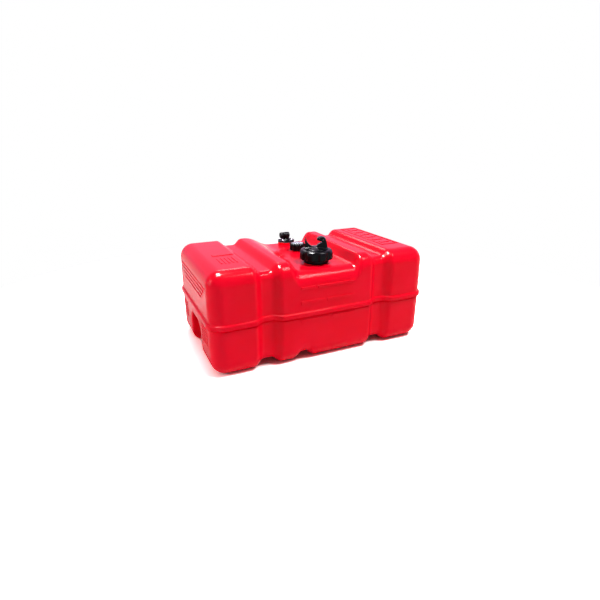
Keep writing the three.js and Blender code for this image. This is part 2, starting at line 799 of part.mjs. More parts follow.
function floatDriverPlate() {
  const top = driverBottom + floatDriver.thickness;
  const width = spindle.stripThickness + 2 * floatDriver.slotClearance;
  const length = spindle.stripWidth + 2 * floatDriver.slotClearance;
  const slotCutter = new THREE.BoxGeometry(width, length, 2 * (floatDriver.thickness + overrun));
  return cut(
    rod(floatDriver.radius, driverBottom, top, 28),
    solidFrom(slotCutter.translate(0, 0, driverBottom)),
  );
}

// The pickup: a screwed flange with a check valve under it, a dip tube, and a swivelling outlet

function screwPlaces() {
  return countTo(pickupScrew.count).map((i) => {
    const angle = ((i + 0.5) / pickupScrew.count) * 2 * Math.PI;
    return { x: pickupScrew.circleRadius * Math.cos(angle), y: pickupScrew.circleRadius * Math.sin(angle) };
  });
}

function screwHoles(low, high) {
  const radius = pickupScrew.shankRadius + pickupScrew.holeClearance;
  const hole = rod(radius, low - overrun, high + overrun, 12);
  return screwPlaces().map(({ x, y }) => hole.translate([x, y, 0]));
}

function pickupGasketRing() {
  const bottom = pickupBoss.height + gap;
  const top = bottom + pickupFlange.gasketThickness;
  return cut(ring(pickupBoss.boreRadius, pickupFlange.radius, bottom, top, 36), ...screwHoles(bottom, top));
}

function pickupFlangeBody() {
  const chamberWall = pickupBoss.boreRadius - pickupFlange.chamberClearance;
  const body = union(
    rod(pickupFlange.radius, pickupFlangeBottom, pickupFlangeTop, 40),
    rod(pickupFlange.postRadius, pickupFlangeTop - gap, postTop, 32),
    rod(chamberWall, chamberBottom, pickupFlangeBottom + gap, 32),
  );
  return cut(
    body,
    rod(pickupFlange.sleeveRadius, sleeveBottom, postTop + overrun, 28),
    rod(pickupFlange.passageRadius, chamberTop - overrun, sleeveBottom + overrun, 20),
    rod(pickupFlange.chamberRadius, chamberBottom - overrun, chamberTop, 28),
    ...screwHoles(pickupFlangeBottom, pickupFlangeTop),
  );
}

function pickupScrewAt({ x, y }) {
  const headBottom = pickupFlangeTop + gap;
  const headTop = headBottom + pickupScrew.headHeight;
  const tip = pickupFlangeTop - pickupScrew.length;
  const body = turned(
    [
      [0, tip],
      [pickupScrew.shankRadius, tip + pickupScrew.shankRadius],
      [pickupScrew.shankRadius, headBottom],
      [pickupScrew.headRadius, headBottom],
      [pickupScrew.headRadius, headBottom + pickupScrew.headHeight / 2],
      [pickupScrew.headRadius - slot.depth, headTop],
      [0, headTop],
    ],
    16,
  );
  const slotLength = 2 * (pickupScrew.headRadius + overrun);
  const slotCutter = new THREE.BoxGeometry(slotLength, slot.width, 2 * slot.depth);
  return cut(body, solidFrom(slotCutter.translate(0, 0, headTop))).translate([x, y, 0]);
}

function elbowSealRing() {
  const innerRadius = spigotRadius - oRing.thickness;
  const outerRadius = pickupFlange.sleeveRadius - gap;
  return ring(innerRadius, outerRadius, sleeveBottom + gap, sleeveBottom + oRing.seat, 28);
}

// A solid turned about +Z laid down to point along -X from the outlet's centre line.
const alongOutlet = (solid) => solid.rotate([0, -90, 0]).translate([0, 0, outletHeight]);

function outletElbow() {
  const upright = union(
    rod(elbow.bodyRadius, elbowBottom, outletHeight, 32),
    rod(spigotRadius, sleeveBottom + oRing.seat + gap, elbowBottom + overrun, 28),
  );
  const head = alongOutlet(rod(elbow.bodyRadius, -elbow.backReach, elbow.frontReach, 32));
  const barbStart = elbow.frontReach - overrun;
  const ridge = elbow.barbRadius + elbow.ridgeHeight;
  const ridges = [1, 2].map((i) => {
    const end = elbow.frontReach + elbow.barbLength - (i - 1) * elbow.ridgeLength;
    const start = end - elbow.ridgeLength / 2;
    return turned([[0, start], [ridge, start], [elbow.barbRadius, end], [0, end]], 24);
  });
  const barb = alongOutlet(
    union(rod(elbow.barbRadius, barbStart, elbow.frontReach + elbow.barbLength, 24), ...ridges),
  );
  const outletBore = alongOutlet(
    rod(elbow.boreRadius, -elbow.boreRadius, elbow.frontReach + elbow.barbLength + overrun, 16),
  );
  const inletBore = rod(elbow.boreRadius, sleeveBottom, outletHeight, 16);
  return cut(union(upright, head, barb), outletBore, inletBore);
}

function outletDustCap() {
  const start = elbow.frontReach + gap;
  const end = start + dustCap.length;
  const inner = elbow.barbRadius + elbow.ridgeHeight + dustCap.clearance;
  const edge = dustCap.cornerChamfer;
  return alongOutlet(
    turned(
      [
        [inner, start],
        [elbow.bodyRadius, start],
        [elbow.bodyRadius, end - edge],
        [elbow.bodyRadius - edge, end],
        [0, end],
        [0, end - dustCap.endWall + gap],
        [inner, end - dustCap.endWall + gap],
        [inner, start],
      ],
      32,
    ),
  );
}

function dipTubeNipple() {
  const flangeTop = chamberBottom - gap;
  const flangeBottom = flangeTop - nipple.flangeThickness;
  const plugRadius = pickupFlange.chamberRadius - gap;
  const spigot = nipple.seatRadius + nipple.spigotWall;
  return cut(
    union(
      rod(plugRadius, flangeTop - gap, seatHeight - gap, 24),
      rod(nipple.flangeRadius, flangeBottom, flangeTop, 28),
      rod(spigot, flangeBottom - nipple.spigotLength, flangeBottom + gap, 20),
    ),
    rod(nipple.seatRadius, flangeBottom - nipple.spigotLength - overrun, seatHeight + overrun, 20),
  );
}

const ballCentre = seatHeight + Math.sqrt(checkBall.radius ** 2 - nipple.seatRadius ** 2);

function checkValveBall() {
  const ball = new THREE.SphereGeometry(checkBall.radius, 20, 12);
  return solidFrom(ball.rotateX(Math.PI / 2).translate(0, 0, ballCentre));
}

function checkValveSpring() {
  const radius = pickupFlange.chamberRadius - gap - 2 * checkSpring.wireRadius;
  const rest = Math.sqrt(Math.max(0, checkBall.radius ** 2 - (radius - checkSpring.wireRadius) ** 2));
  const low = ballCentre + rest + checkSpring.wireRadius + gap;
  const high = chamberTop - checkSpring.wireRadius - gap;
  const steps = checkSpring.turns * 12;
  const sides = 5;
  const rings = countTo(steps + 1).map((i) => {
    const turn = (i / steps) * checkSpring.turns * 2 * Math.PI;
    const height = low + ((high - low) * i) / steps;
    return countTo(sides).map((k) => {
      const angle = (k / sides) * 2 * Math.PI;
      const reach = radius + checkSpring.wireRadius * Math.cos(angle);
      return new THREE.Vector3(
        reach * Math.cos(turn),
        reach * Math.sin(turn),
        height + checkSpring.wireRadius * Math.sin(angle),
      );
    });
  });
  const end = fan(countTo(sides));
  return lofted(rings, end, end);
}

const dipTubeBody = () => ring(dipTubeBore, dipTubeRadius, dipTubeBottom, dipTubeTop, 24);

function pickupStrainer() {
  const inner = dipTubeRadius + gap;
  const outer = inner + strainer.wall;
  const top = strainerBottom + strainer.height;
  const cup = cut(
    rod(outer, strainerBottom, top, 24),
    rod(inner, strainerBottom + strainer.baseThickness, top + overrun, 24),
  );
  const windowWidth = ((2 * Math.PI * inner) / strainer.windowCount) * strainer.windowShare;
  const windowHeight = strainer.height - strainer.baseThickness - 2 * strainer.windowMargin;
  const windowMiddle = strainerBottom + strainer.baseThickness + strainer.windowMargin + windowHeight / 2;
  const windows = countTo(strainer.windowCount).map((i) =>
    solidFrom(
      new THREE.BoxGeometry(outer, windowWidth, windowHeight)
        .translate(outer, 0, windowMiddle)
        .rotateZ((i / strainer.windowCount) * 2 * Math.PI),
    ),
  );
  return cut(cup, ...windows);
}

// The assembly

function mesh(name, solid, look) {
  const made = new THREE.Mesh(geometryFrom(solid), look);
  made.name = name;
  return made;
}

function fitting(place, ...meshes) {
  const group = new THREE.Group();
  group.position.set(place.x, place.y, floorHeight);
  group.add(...meshes);
  return group;
}

const vent = new THREE.Group();
vent.rotation.z = ventDial.angle;
vent.add(mesh("vent_dial", ventDialKnob(), blackPlastic), mesh("vent_seal", ventSealDisc(), blackRubber));

const filler = fitting(
  fillerPlace,
  mesh("cap_gasket", capGasketRing(), blackRubber),
  mesh("cap_slip_ring", capSlipRing(), tubePlastic),
  mesh("cap_insert", capInsert(), blackPlastic),
  mesh("cap_grip_shell", capGripShell(), blackPlastic),
  vent,
);

const gauge = fitting(
  gaugePlace,
  mesh("gauge_gasket", gaugeGasketRing(), blackRubber),
  mesh("gauge_head", gaugeHeadBody(), blackPlastic),
  mesh("gauge_dial", gaugeDialDisc(), dialWhite),
  mesh("gauge_pointer", gaugePointer(), pointerRed),
  mesh("gauge_lens", gaugeLensDisc(), clearPlastic),
  mesh("gauge_ring_nut", gaugeRingNut(), blackPlastic),
  mesh("gauge_spindle", gaugeSpindle(), platedSteel),
  mesh("guide_rod_left", guideRodAt(-1), platedSteel),
  mesh("guide_rod_right", guideRodAt(1), platedSteel),
  mesh("gauge_foot", gaugeFootDisc(), blackPlastic),
  mesh("gauge_float", gaugeFloatBody(), floatFoam),
  mesh("float_driver", floatDriverPlate(), tubePlastic),
);

const pickup = fitting(
  pickupPlace,
  mesh("pickup_gasket", pickupGasketRing(), blackRubber),
  mesh("pickup_flange", pickupFlangeBody(), blackPlastic),
  ...screwPlaces().map((place, i) => mesh(`pickup_screw_${i + 1}`, pickupScrewAt(place), platedSteel)),
  mesh("elbow_o_ring", elbowSealRing(), blackRubber),
  mesh("outlet_elbow", outletElbow(), blackPlastic),
  mesh("outlet_dust_cap", outletDustCap(), blackPlastic),
  mesh("dip_tube_nipple", dipTubeNipple(), blackPlastic),
  mesh("check_ball", checkValveBall(), platedSteel),
  mesh("check_spring", checkValveSpring(), platedSteel),
  mesh("dip_tube", dipTubeBody(), tubePlastic),
  mesh("pickup_strainer", pickupStrainer(), tubePlastic),
);

const fuelTank = new THREE.Group();
fuelTank.add(mesh("tank_body", tankBody(), redPlastic), filler, gauge, pickup);

export default fuelTank;
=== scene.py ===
"""The looks of a portable outboard fuel tank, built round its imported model.

Metres, +Z up, the front facing -Y, the origin under the middle of the base.
Each moulded piece is the surface where a distance field is zero, so all its corners are soft.
"""

import json
import math

import bpy
import numpy as np
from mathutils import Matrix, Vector


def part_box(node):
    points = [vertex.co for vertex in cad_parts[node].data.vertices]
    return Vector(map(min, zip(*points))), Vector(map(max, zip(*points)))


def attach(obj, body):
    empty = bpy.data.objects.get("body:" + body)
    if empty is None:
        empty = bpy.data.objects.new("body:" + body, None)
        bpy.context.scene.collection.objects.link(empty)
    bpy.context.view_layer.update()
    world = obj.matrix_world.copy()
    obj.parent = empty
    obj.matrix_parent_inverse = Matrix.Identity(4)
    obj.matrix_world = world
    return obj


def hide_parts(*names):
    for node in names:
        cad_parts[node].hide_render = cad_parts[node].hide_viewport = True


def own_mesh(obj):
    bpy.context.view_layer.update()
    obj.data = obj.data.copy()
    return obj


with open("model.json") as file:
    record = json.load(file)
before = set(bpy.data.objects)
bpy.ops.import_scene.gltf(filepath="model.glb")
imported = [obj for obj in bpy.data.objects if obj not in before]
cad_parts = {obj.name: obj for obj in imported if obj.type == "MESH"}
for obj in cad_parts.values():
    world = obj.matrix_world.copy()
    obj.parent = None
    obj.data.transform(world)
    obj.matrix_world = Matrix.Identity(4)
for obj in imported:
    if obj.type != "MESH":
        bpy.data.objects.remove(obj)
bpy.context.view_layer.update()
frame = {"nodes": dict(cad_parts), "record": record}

MM = 0.001


# Places and sizes taken from the frame


class Box:
    """A CAD node's box at rest: its corners, its middle and its half sizes."""

    def __init__(self, node):
        self.low, self.high = (np.array(corner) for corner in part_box(node))
        self.middle = (self.low + self.high) / 2
        self.half = (self.high - self.low) / 2


body_box = Box("tank_body")
shell_box = Box("cap_grip_shell")
insert_box = Box("cap_insert")
dial_box = Box("vent_dial")
nut_box = Box("gauge_ring_nut")
lens_box = Box("gauge_lens")
dial_face_box = Box("gauge_dial")
flange_box = Box("pickup_flange")
gasket_box = Box("pickup_gasket")
elbow_box = Box("outlet_elbow")
dust_cap_box = Box("outlet_dust_cap")

# The tank's moulding

BEAD_PROUD = 4.5 * MM
BEAD_HALF_HEIGHT = 6.5 * MM
BEAD_TOP_SOFTNESS = 5 * MM
BEAD_BOTTOM_SOFTNESS = 2 * MM
BEAD_FILLET = 0.3 * MM
CREASE_DEPTH = 2.8 * MM
CREASE_HALF_HEIGHT = 2.5 * MM
CREASE_DROP = 8.5 * MM  # from the parting line down to the crease's middle
LENGTH = 2 * (body_box.half[0] - BEAD_PROUD)
WIDTH = 2 * (body_box.half[1] - BEAD_PROUD)
HEIGHT = body_box.high[2]
PARTING_HEIGHT = HEIGHT / 2
EDGE_RADIUS = 36 * MM
DRAFT = math.tan(math.radians(0.5))
WALL = 4 * MM

GROOVE_CENTRE = 157.5 * MM
GROOVE_FLOOR_HALF = 15.5 * MM
GROOVE_FLANK = 16.5 * MM
GROOVE_DEPTH = 16 * MM

RECESS_CENTRE = 14 * MM
RECESS_FLOOR_HALF = 69 * MM
RECESS_LEFT_FLANK = 41 * MM
RECESS_RIGHT_FLANK = 14 * MM
RECESS_DEPTH = 26 * MM
RECESS_SWING = 18 * MM
RECESS_SWING_BOW = 0.6
FLOOR_HEIGHT = HEIGHT - RECESS_DEPTH

NOTCH_CENTRE = -58.5 * MM
NOTCH_FLOOR_HALF = 11.5 * MM
NOTCH_LEFT_FLANK = 18 * MM
NOTCH_RIGHT_FLANK = 12 * MM
NOTCH_DEPTH = 16 * MM

CHANNEL_SOFTNESS = 0.36  # how soft a channel's corners are, as a share of its flank
WARP_HALF_HEIGHT = (15 * MM, 60 * MM)  # the sides take up a change of height between these

POCKET_HALF_WIDTH = 52 * MM
POCKET_TOP = 97 * MM
POCKET_DEPTH = 42 * MM
POCKET_CORNER = 26 * MM
POCKET_INNER_SOFTNESS = 14 * MM
POCKET_RIM_SOFTNESS = 9 * MM

FILLER_AXIS = shell_box.middle
GAUGE_AXIS = nut_box.middle
PICKUP_AXIS = gasket_box.middle

SKIN_STEP = 3.0 * MM
HOLLOW_STEP = 9 * MM
FINE_STEP = 0.8 * MM
FINEST_STEP = 0.45 * MM
GRID_MARGIN = 1.5  # how many steps a grid goes past its box
FINE_ROWS = 3  # how many of the skin's fine rows there are in one of its steps
FINE_BAND = (1.9, 1.4)  # the skin's fine rows, in half heights of the bead below and above its middle

OVERRUN = 1 * MM  # how far a form goes on inside its neighbour, or a cut past its surface

# How soft the edges of the small pieces are
SHARP_EDGE = 0.3 * MM
FINE_EDGE = 0.4 * MM
CUT_EDGE = 0.5 * MM
SMALL_EDGE = 0.6 * MM
MOULDED_EDGE = 0.8 * MM
ROUND_EDGE = 1 * MM
FULL_EDGE = 1.2 * MM
PLATE_EDGE = 1.4 * MM


# Distance fields. Each takes an array of points and gives a length for each, negative inside.


def smooth_step(t):
    t = np.clip(t, 0, 1)
    return t * t * (3 - 2 * t)


def soft_max(a, b, softness):
    """The larger of two fields, so an intersection, with the corner between them rounded."""
    overlap = np.maximum(softness - np.abs(a - b), 0)
    return np.maximum(a, b) + overlap * overlap / (4 * softness)


def soft_min(a, b, softness):
    """The smaller of two fields, so a union, with a fillet between them."""
    return -soft_max(-a, -b, softness)


def carve(solid, cutter, softness):
    return soft_max(solid, -cutter, softness)


def soft_share(t, softness):
    """Rises from 0 to 1 with t, easing in and out at both ends."""
    return soft_max(soft_min(t, np.ones_like(t), softness), np.zeros_like(t), softness)


def radius_from(points, axis):
    return np.hypot(points[:, 0] - axis[0], points[:, 1] - axis[1])


def disc(points, axis, radius, low, high, softness):
    """An upright round solid between two heights, its rims rounded."""
    r = radius_from(points, axis) - radius
    ends = np.maximum(points[:, 2] - high, low - points[:, 2])
    return soft_max(r, ends, softness)


def rounded_box(points, middle, half, corner):
    q = np.abs(points - middle) - (np.asarray(half) - corner)
    outside = np.linalg.norm(np.maximum(q, 0), axis=1)
    return outside + np.minimum(q.max(axis=1), 0) - corner


def channel_share(x, centre, floor_half, left_flank, right_flank):
    """How much of a channel's full depth there is at x: 1 on its floor, 0 beside it."""
    from_left = (x - (centre - floor_half - left_flank)) / left_flank
    from_right = ((centre + floor_half + right_flank) - x) / right_flank
    return soft_share(from_left, CHANNEL_SOFTNESS) * soft_share(from_right, CHANNEL_SOFTNESS)


def tank_field(points):
    """The moulding's outer form."""
    x, y, z = points.T
    start, end = WARP_HALF_HEIGHT
    upper = smooth_step((z - PARTING_HEIGHT - start) / (end - start))
    lower = smooth_step((PARTING_HEIGHT - z - start) / (end - start))
    across = np.clip(y / (WIDTH / 2), -1, 1)
    swing = RECESS_SWING * across * (1 - RECESS_SWING_BOW * across)
    from_right = soft_share(
        ((RECESS_CENTRE + RECESS_FLOOR_HALF + RECESS_RIGHT_FLANK) - x) / RECESS_RIGHT_FLANK,
        CHANNEL_SOFTNESS,
    )
    left_start = RECESS_CENTRE - RECESS_FLOOR_HALF - RECESS_LEFT_FLANK
    left_flank = np.maximum(RECESS_LEFT_FLANK + swing, RECESS_RIGHT_FLANK)
    from_left = soft_share((x - left_start) / left_flank, CHANNEL_SOFTNESS)
    drop = RECESS_DEPTH * from_left * from_right
    rise = NOTCH_DEPTH * channel_share(
        x, NOTCH_CENTRE, NOTCH_FLOOR_HALF, NOTCH_LEFT_FLANK, NOTCH_RIGHT_FLANK
    )
    inset = GROOVE_DEPTH * channel_share(
        np.abs(x), GROOVE_CENTRE, GROOVE_FLOOR_HALF, GROOVE_FLANK, GROOVE_FLANK
    )
    lean = DRAFT * np.abs(z - PARTING_HEIGHT)
    height = z + drop * upper - rise * lower
    q = np.stack(
        [
            np.abs(x) - (LENGTH / 2 - lean - EDGE_RADIUS),
            np.abs(y) - (WIDTH / 2 - lean - EDGE_RADIUS),
            np.abs(height - HEIGHT / 2) - (HEIGHT / 2 - EDGE_RADIUS),
        ]
    )
    form = np.linalg.norm(np.maximum(q, 0), axis=0) + np.minimum(q.max(axis=0), 0)
    crease = np.clip(1 - ((z - PARTING_HEIGHT + CREASE_DROP) / CREASE_HALF_HEIGHT) ** 2, 0, 1)
    form = form - EDGE_RADIUS + inset + CREASE_DEPTH * crease * crease
    bead_top, bead_bottom = PARTING_HEIGHT + BEAD_HALF_HEIGHT, PARTING_HEIGHT - BEAD_HALF_HEIGHT
    band = soft_max(form - BEAD_PROUD, z - bead_top, BEAD_TOP_SOFTNESS)
    band = soft_max(band, bead_bottom - z, BEAD_BOTTOM_SOFTNESS)
    form = soft_min(form, band, BEAD_FILLET)
    corner_y = np.abs(y) - (POCKET_HALF_WIDTH - POCKET_CORNER)
    corner_z = z - (POCKET_TOP - POCKET_CORNER)
    opening = np.hypot(np.maximum(corner_y, 0), np.maximum(corner_z, 0))
    opening = opening + np.minimum(np.maximum(corner_y, corner_z), 0) - POCKET_CORNER
    pocket = soft_max(opening, (LENGTH / 2 - POCKET_DEPTH) - np.abs(x), POCKET_INNER_SOFTNESS)
    return carve(form, pocket, POCKET_RIM_SOFTNESS)


def hollow_field(points):
    """The space inside, turned inside out so that its wall faces the fuel."""
    return -(tank_field(points) + WALL)


# Meshing a field


def spaced(low, high, step):
    count = max(int(math.ceil((high - low) / step)), 2)
    return np.linspace(low, high, count + 1)


def grid_axes(low, high, step):
    margin = GRID_MARGIN * step
    return [spaced(a - margin, b + margin, step) for a, b in zip(low, high)]


def gradient(field, points, reach):
    slopes = []
    for axis in range(3):
        shift = np.zeros(3)
        shift[axis] = reach
        slopes.append((field(points + shift) - field(points - shift)) / (2 * reach))
    return np.stack(slopes, axis=1)


CORNERS = np.array([(i, j, k) for i in (0, 1) for j in (0, 1) for k in (0, 1)])
CELL_EDGES = [
    (a, b)
    for a in range(8)
    for b in range(a + 1, 8)
    if np.abs(CORNERS[a] - CORNERS[b]).sum() == 1
]


def field_surface(field, axes):
    """Points and four-sided faces on the surface where a field is zero, with one point in each cell."""
    shape = tuple(len(axis) for axis in axes)
    grid = np.stack(np.meshgrid(*axes, indexing="ij"), axis=-1).reshape(-1, 3)
    values = field(grid).reshape(shape)
    inside = values < 0
    cells = tuple(n - 1 for n in shape)
    count = sum(
        inside[i : i + cells[0], j : j + cells[1], k : k + cells[2]].astype(np.int8)
        for i, j, k in CORNERS
    )
    crossed = np.argwhere((count > 0) & (count < 8))
    index = np.full(cells, -1, dtype=np.int64)
    index[tuple(crossed.T)] = np.arange(len(crossed))
    corner_cells = crossed[:, None, :] + CORNERS[None]
    corner_values = values[tuple(np.moveaxis(corner_cells, -1, 0))]
    corner_points = np.stack([axes[n][corner_cells[..., n]] for n in range(3)], axis=-1)
    total = np.zeros((len(crossed), 3))
    hits = np.zeros((len(crossed), 1))
    for a, b in CELL_EDGES:
        first, second = corner_values[:, a], corner_values[:, b]
        meets = (first < 0) != (second < 0)
        span = np.where(meets, first - second, 1)
        share = np.where(meets, first / span, 0)[:, None]
        point = corner_points[:, a] + share * (corner_points[:, b] - corner_points[:, a])
        total += np.where(meets[:, None], point, 0)
        hits += meets[:, None]
    points = total / hits
    faces = []
    for axis in range(3):
        u, v = (axis + 1) % 3, (axis + 2) % 3
        ahead = np.take(inside, range(1, shape[axis]), axis=axis)
        behind = np.take(inside, range(shape[axis] - 1), axis=axis)
        places = np.argwhere(ahead != behind)
        clear = np.all(
            [(places[:, n] > 0) & (places[:, n] < shape[n] - 1) for n in (u, v)], axis=0
        )
        places = places[clear]
        quad = []
        for back_u, back_v in ((1, 1), (0, 1), (0, 0), (1, 0)):
            cell = places.copy()
            cell[:, u] -= back_u
            cell[:, v] -= back_v
            quad.append(index[tuple(cell.T)])
        quad = np.stack(quad, axis=1)
        outward = behind[tuple(places.T)]
        faces.append(np.where(outward[:, None], quad, quad[:, ::-1]))
    return points, np.concatenate(faces)


def settle(field, points, reach, rounds=6):
    """Moves points onto a field's surface, and gives the surface's normals there."""
    for _ in range(rounds):
        slope = gradient(field, points, reach)
        size = np.maximum((slope * slope).sum(axis=1, keepdims=True), 1e-6)
        step = field(points)[:, None] * slope / size
        length = np.linalg.norm(step, axis=1, keepdims=True)
        points = points - step * np.minimum(1, 4 * reach / np.maximum(length, 1e-12))
    slope = gradient(field, points, reach)
    return points, slope / np.maximum(np.linalg.norm(slope, axis=1, keepdims=True), 1e-9)


def mesh_piece(name, points, faces, normals, material, body, replaced=()):
    used = np.unique(faces)
    place = np.zeros(len(points), dtype=np.int64)
    place[used] = np.arange(len(used))
    mesh = bpy.data.meshes.new(name)
    mesh.from_pydata(points[used].tolist(), [], place[faces].tolist())
    mesh.shade_smooth()
    mesh.normals_split_custom_set_from_vertices(normals[used].tolist())
    mesh.materials.append(material)
    piece = bpy.data.objects.new(name, mesh)
    bpy.context.scene.collection.objects.link(piece)
    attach(piece, body)
    if replaced:
        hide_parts(*replaced)
    return piece


def field_piece(
    name, field, low, high, step, material, body, replaced=(), axes=None, keep=None
):
    """A piece whose surface is where a field is zero, between two corners of a box."""
    axes = axes or grid_axes(low, high, step)
    points, faces = field_surface(field, axes)
    points, normals = settle(field, points, step / 4)
    if keep is not None:
        faces = faces[keep(points[faces].mean(axis=1))]
    return mesh_piece(name, points, faces, normals, material, body, replaced)


# Materials


def new_material(name):
    material = bpy.data.materials.new(name)
    material.use_nodes = True
    tree = material.node_tree
    tree.nodes.clear()
    output = tree.nodes.new("ShaderNodeOutputMaterial")
    shader = tree.nodes.new("ShaderNodeBsdfPrincipled")
    tree.links.new(shader.outputs["BSDF"], output.inputs["Surface"])
    return material, tree, shader


def add_node(tree, kind, *inputs, **settings):
    """A node whose inputs are linked or set, in their order. None leaves one as it is."""
    node = tree.nodes.new("ShaderNode" + kind)
    for name, value in settings.items():
        setattr(node, name, value)
    for socket, value in zip(node.inputs, inputs):
        if isinstance(value, bpy.types.NodeSocket):
            tree.links.new(value, socket)
        elif value is not None:
            socket.default_value = value
    return node


def object_place(tree):
    return add_node(tree, "TexCoord").outputs["Object"]


def add_noise(tree, scale, detail=3.0):
    noise = add_node(tree, "TexNoise", object_place(tree))
    noise.inputs["Scale"].default_value = scale
    noise.inputs["Detail"].default_value = detail
    return noise.outputs["Fac"]


def add_range(tree, value, low, high, start=0.3, end=0.7):
    """Low where the value is at the start or under it, high where it is at the end or over it."""
    return add_node(tree, "MapRange", value, start, end, low, high).outputs["Result"]


def add_math(tree, operation, *inputs):
    return add_node(tree, "Math", *inputs, operation=operation).outputs["Value"]


def add_vector(tree, operation, *inputs):
    node = add_node(tree, "VectorMath", *inputs, operation=operation)
    return node.outputs["Value" if operation == "LENGTH" else "Vector"]


def add_mix(tree, share, first, second):
    node = tree.nodes.new("ShaderNodeMix")
    node.data_type = "RGBA"
    node.inputs["A"].default_value = (*first, 1)
    node.inputs["B"].default_value = (*second, 1)
    tree.links.new(share, node.inputs["Factor"])
    return node.outputs["Result"]


def add_bump(tree, height, strength, distance, under=None):
    node = tree.nodes.new("ShaderNodeBump")
    node.inputs["Strength"].default_value = strength
    node.inputs["Distance"].default_value = distance
    tree.links.new(height, node.inputs["Height"])
    if under is not None:
        tree.links.new(under, node.inputs["Normal"])
    return node.outputs["Normal"]


PATCH_SCALE = 9.0
BLOTCH_SCALE = 38.0
WAVE_SCALE = 14.0
SHEEN_SPREAD = 0.05
GLOW_RADIUS = (1.0, 0.12, 0.08)
GLOW_DEPTH = 6 * MM


def moulded_plastic(
    name, light, dark, roughness, grain_scale, grain, waviness=0.0, glow=0.0, level=0.5, ior=1.5
):
    """A moulded plastic with patchy colour and sheen, a fine grain and, on a big moulding, slow waves."""
    material, tree, shader = new_material(name)
    patches = add_noise(tree, PATCH_SCALE)
    colour = add_mix(tree, add_range(tree, patches, 0, 1), light, dark)
    tree.links.new(colour, shader.inputs["Base Color"])
    blotches = add_noise(tree, BLOTCH_SCALE, detail=5.0)
    sheen = add_range(tree, blotches, roughness - SHEEN_SPREAD, roughness + SHEEN_SPREAD)
    tree.links.new(sheen, shader.inputs["Roughness"])
    normal = None
    if waviness:
        normal = add_bump(tree, add_noise(tree, WAVE_SCALE, detail=1.0), 1.0, waviness)
    normal = add_bump(tree, add_noise(tree, grain_scale, detail=2.0), 1.0, grain, normal)
    tree.links.new(normal, shader.inputs["Normal"])
    shader.inputs["Specular IOR Level"].default_value = level
    shader.inputs["IOR"].default_value = ior
    if glow:
        shader.inputs["Subsurface Weight"].default_value = glow
        shader.inputs["Subsurface Radius"].default_value = GLOW_RADIUS
        shader.inputs["Subsurface Scale"].default_value = GLOW_DEPTH
    return material


RUBBER_DARK_SHARE = 0.7


def rubber(name, tone):
    return moulded_plastic(
        name, (tone,) * 3, (tone * RUBBER_DARK_SHARE,) * 3,
        roughness=0.78, grain_scale=900.0, grain=0.05 * MM,
    )


CLEAR_TINT = (0.86, 0.97, 0.98, 1)
CLEAR_SHARE = 0.9
CLEAR_IOR = 1.49
SMEAR_SCALE = 120.0
SMEAR_ROUGHNESS = (0.03, 0.12)


def clear_plastic(name):
    material, tree, shader = new_material(name)
    shader.inputs["Base Color"].default_value = CLEAR_TINT
    shader.inputs["Transmission Weight"].default_value = CLEAR_SHARE
    shader.inputs["IOR"].default_value = CLEAR_IOR
    smears = add_range(tree, add_noise(tree, SMEAR_SCALE), *SMEAR_ROUGHNESS)
    tree.links.new(smears, shader.inputs["Roughness"])
    return material


PLATING_SPOTS = 220.0
PLATING_DARK_SHARE = 0.8
PLATING_ROUGHNESS = (0.22, 0.36)


def plated_metal(name, tone):
    material, tree, shader = new_material(name)
    spots = add_noise(tree, PLATING_SPOTS, detail=4.0)
    darker = tuple(PLATING_DARK_SHARE * channel for channel in tone)
    colour = add_mix(tree, add_range(tree, spots, 0, 1), tone, darker)
    tree.links.new(colour, shader.inputs["Base Color"])
    tree.links.new(add_range(tree, spots, *PLATING_ROUGHNESS), shader.inputs["Roughness"])
    shader.inputs["Metallic"].default_value = 1.0
    return material


FOAM_CELLS = 900.0
FOAM_TONES = (0.05, 0.035, 0.025), (0.015, 0.012, 0.01)
FOAM_CELL_DEPTH = 0.3 * MM
FOAM_BUMP_STRENGTH = 0.6
FOAM_ROUGHNESS = 0.9


def float_foam(name):
    material, tree, shader = new_material(name)
    cells = add_node(tree, "TexVoronoi", object_place(tree))
    cells.inputs["Scale"].default_value = FOAM_CELLS
    from_middle = cells.outputs["Distance"]
    tree.links.new(add_mix(tree, from_middle, *FOAM_TONES), shader.inputs["Base Color"])
    shader.inputs["Roughness"].default_value = FOAM_ROUGHNESS
    bump = add_bump(tree, from_middle, FOAM_BUMP_STRENGTH, FOAM_CELL_DEPTH)
    tree.links.new(bump, shader.inputs["Normal"])
    return material


DIAL_MARKS = 16
DIAL_MARK_SHARE = 0.18  # how much of the way round the marks cover
DIAL_SCALE_START = 0.72  # where the scale starts, as a share of the dial's radius
DIAL_WHITE = (0.82, 0.86, 0.86)
DIAL_BLACK = (0.02, 0.02, 0.02)
DIAL_GRAIN_SCALE = 300.0
DIAL_ROUGHNESS = (0.45, 0.6)


def dial_print(name, middle, radius):
    """A white dial face with a black scale of plain marks round its rim."""
    material, tree, shader = new_material(name)
    moved = add_vector(tree, "SUBTRACT", object_place(tree), tuple(middle))
    round_dial = add_node(tree, "TexGradient", moved, gradient_type="RADIAL").outputs["Fac"]
    from_mark = add_math(tree, "PINGPONG", round_dial, 0.5 / DIAL_MARKS)
    thin = add_math(tree, "LESS_THAN", from_mark, DIAL_MARK_SHARE / 2 / DIAL_MARKS)
    outer = add_math(tree, "GREATER_THAN", add_vector(tree, "LENGTH", moved), DIAL_SCALE_START * radius)
    marks = add_math(tree, "MULTIPLY", thin, outer)
    tree.links.new(add_mix(tree, marks, DIAL_WHITE, DIAL_BLACK), shader.inputs["Base Color"])
    sheen = add_range(tree, add_noise(tree, DIAL_GRAIN_SCALE), *DIAL_ROUGHNESS)
    tree.links.new(sheen, shader.inputs["Roughness"])
    return material


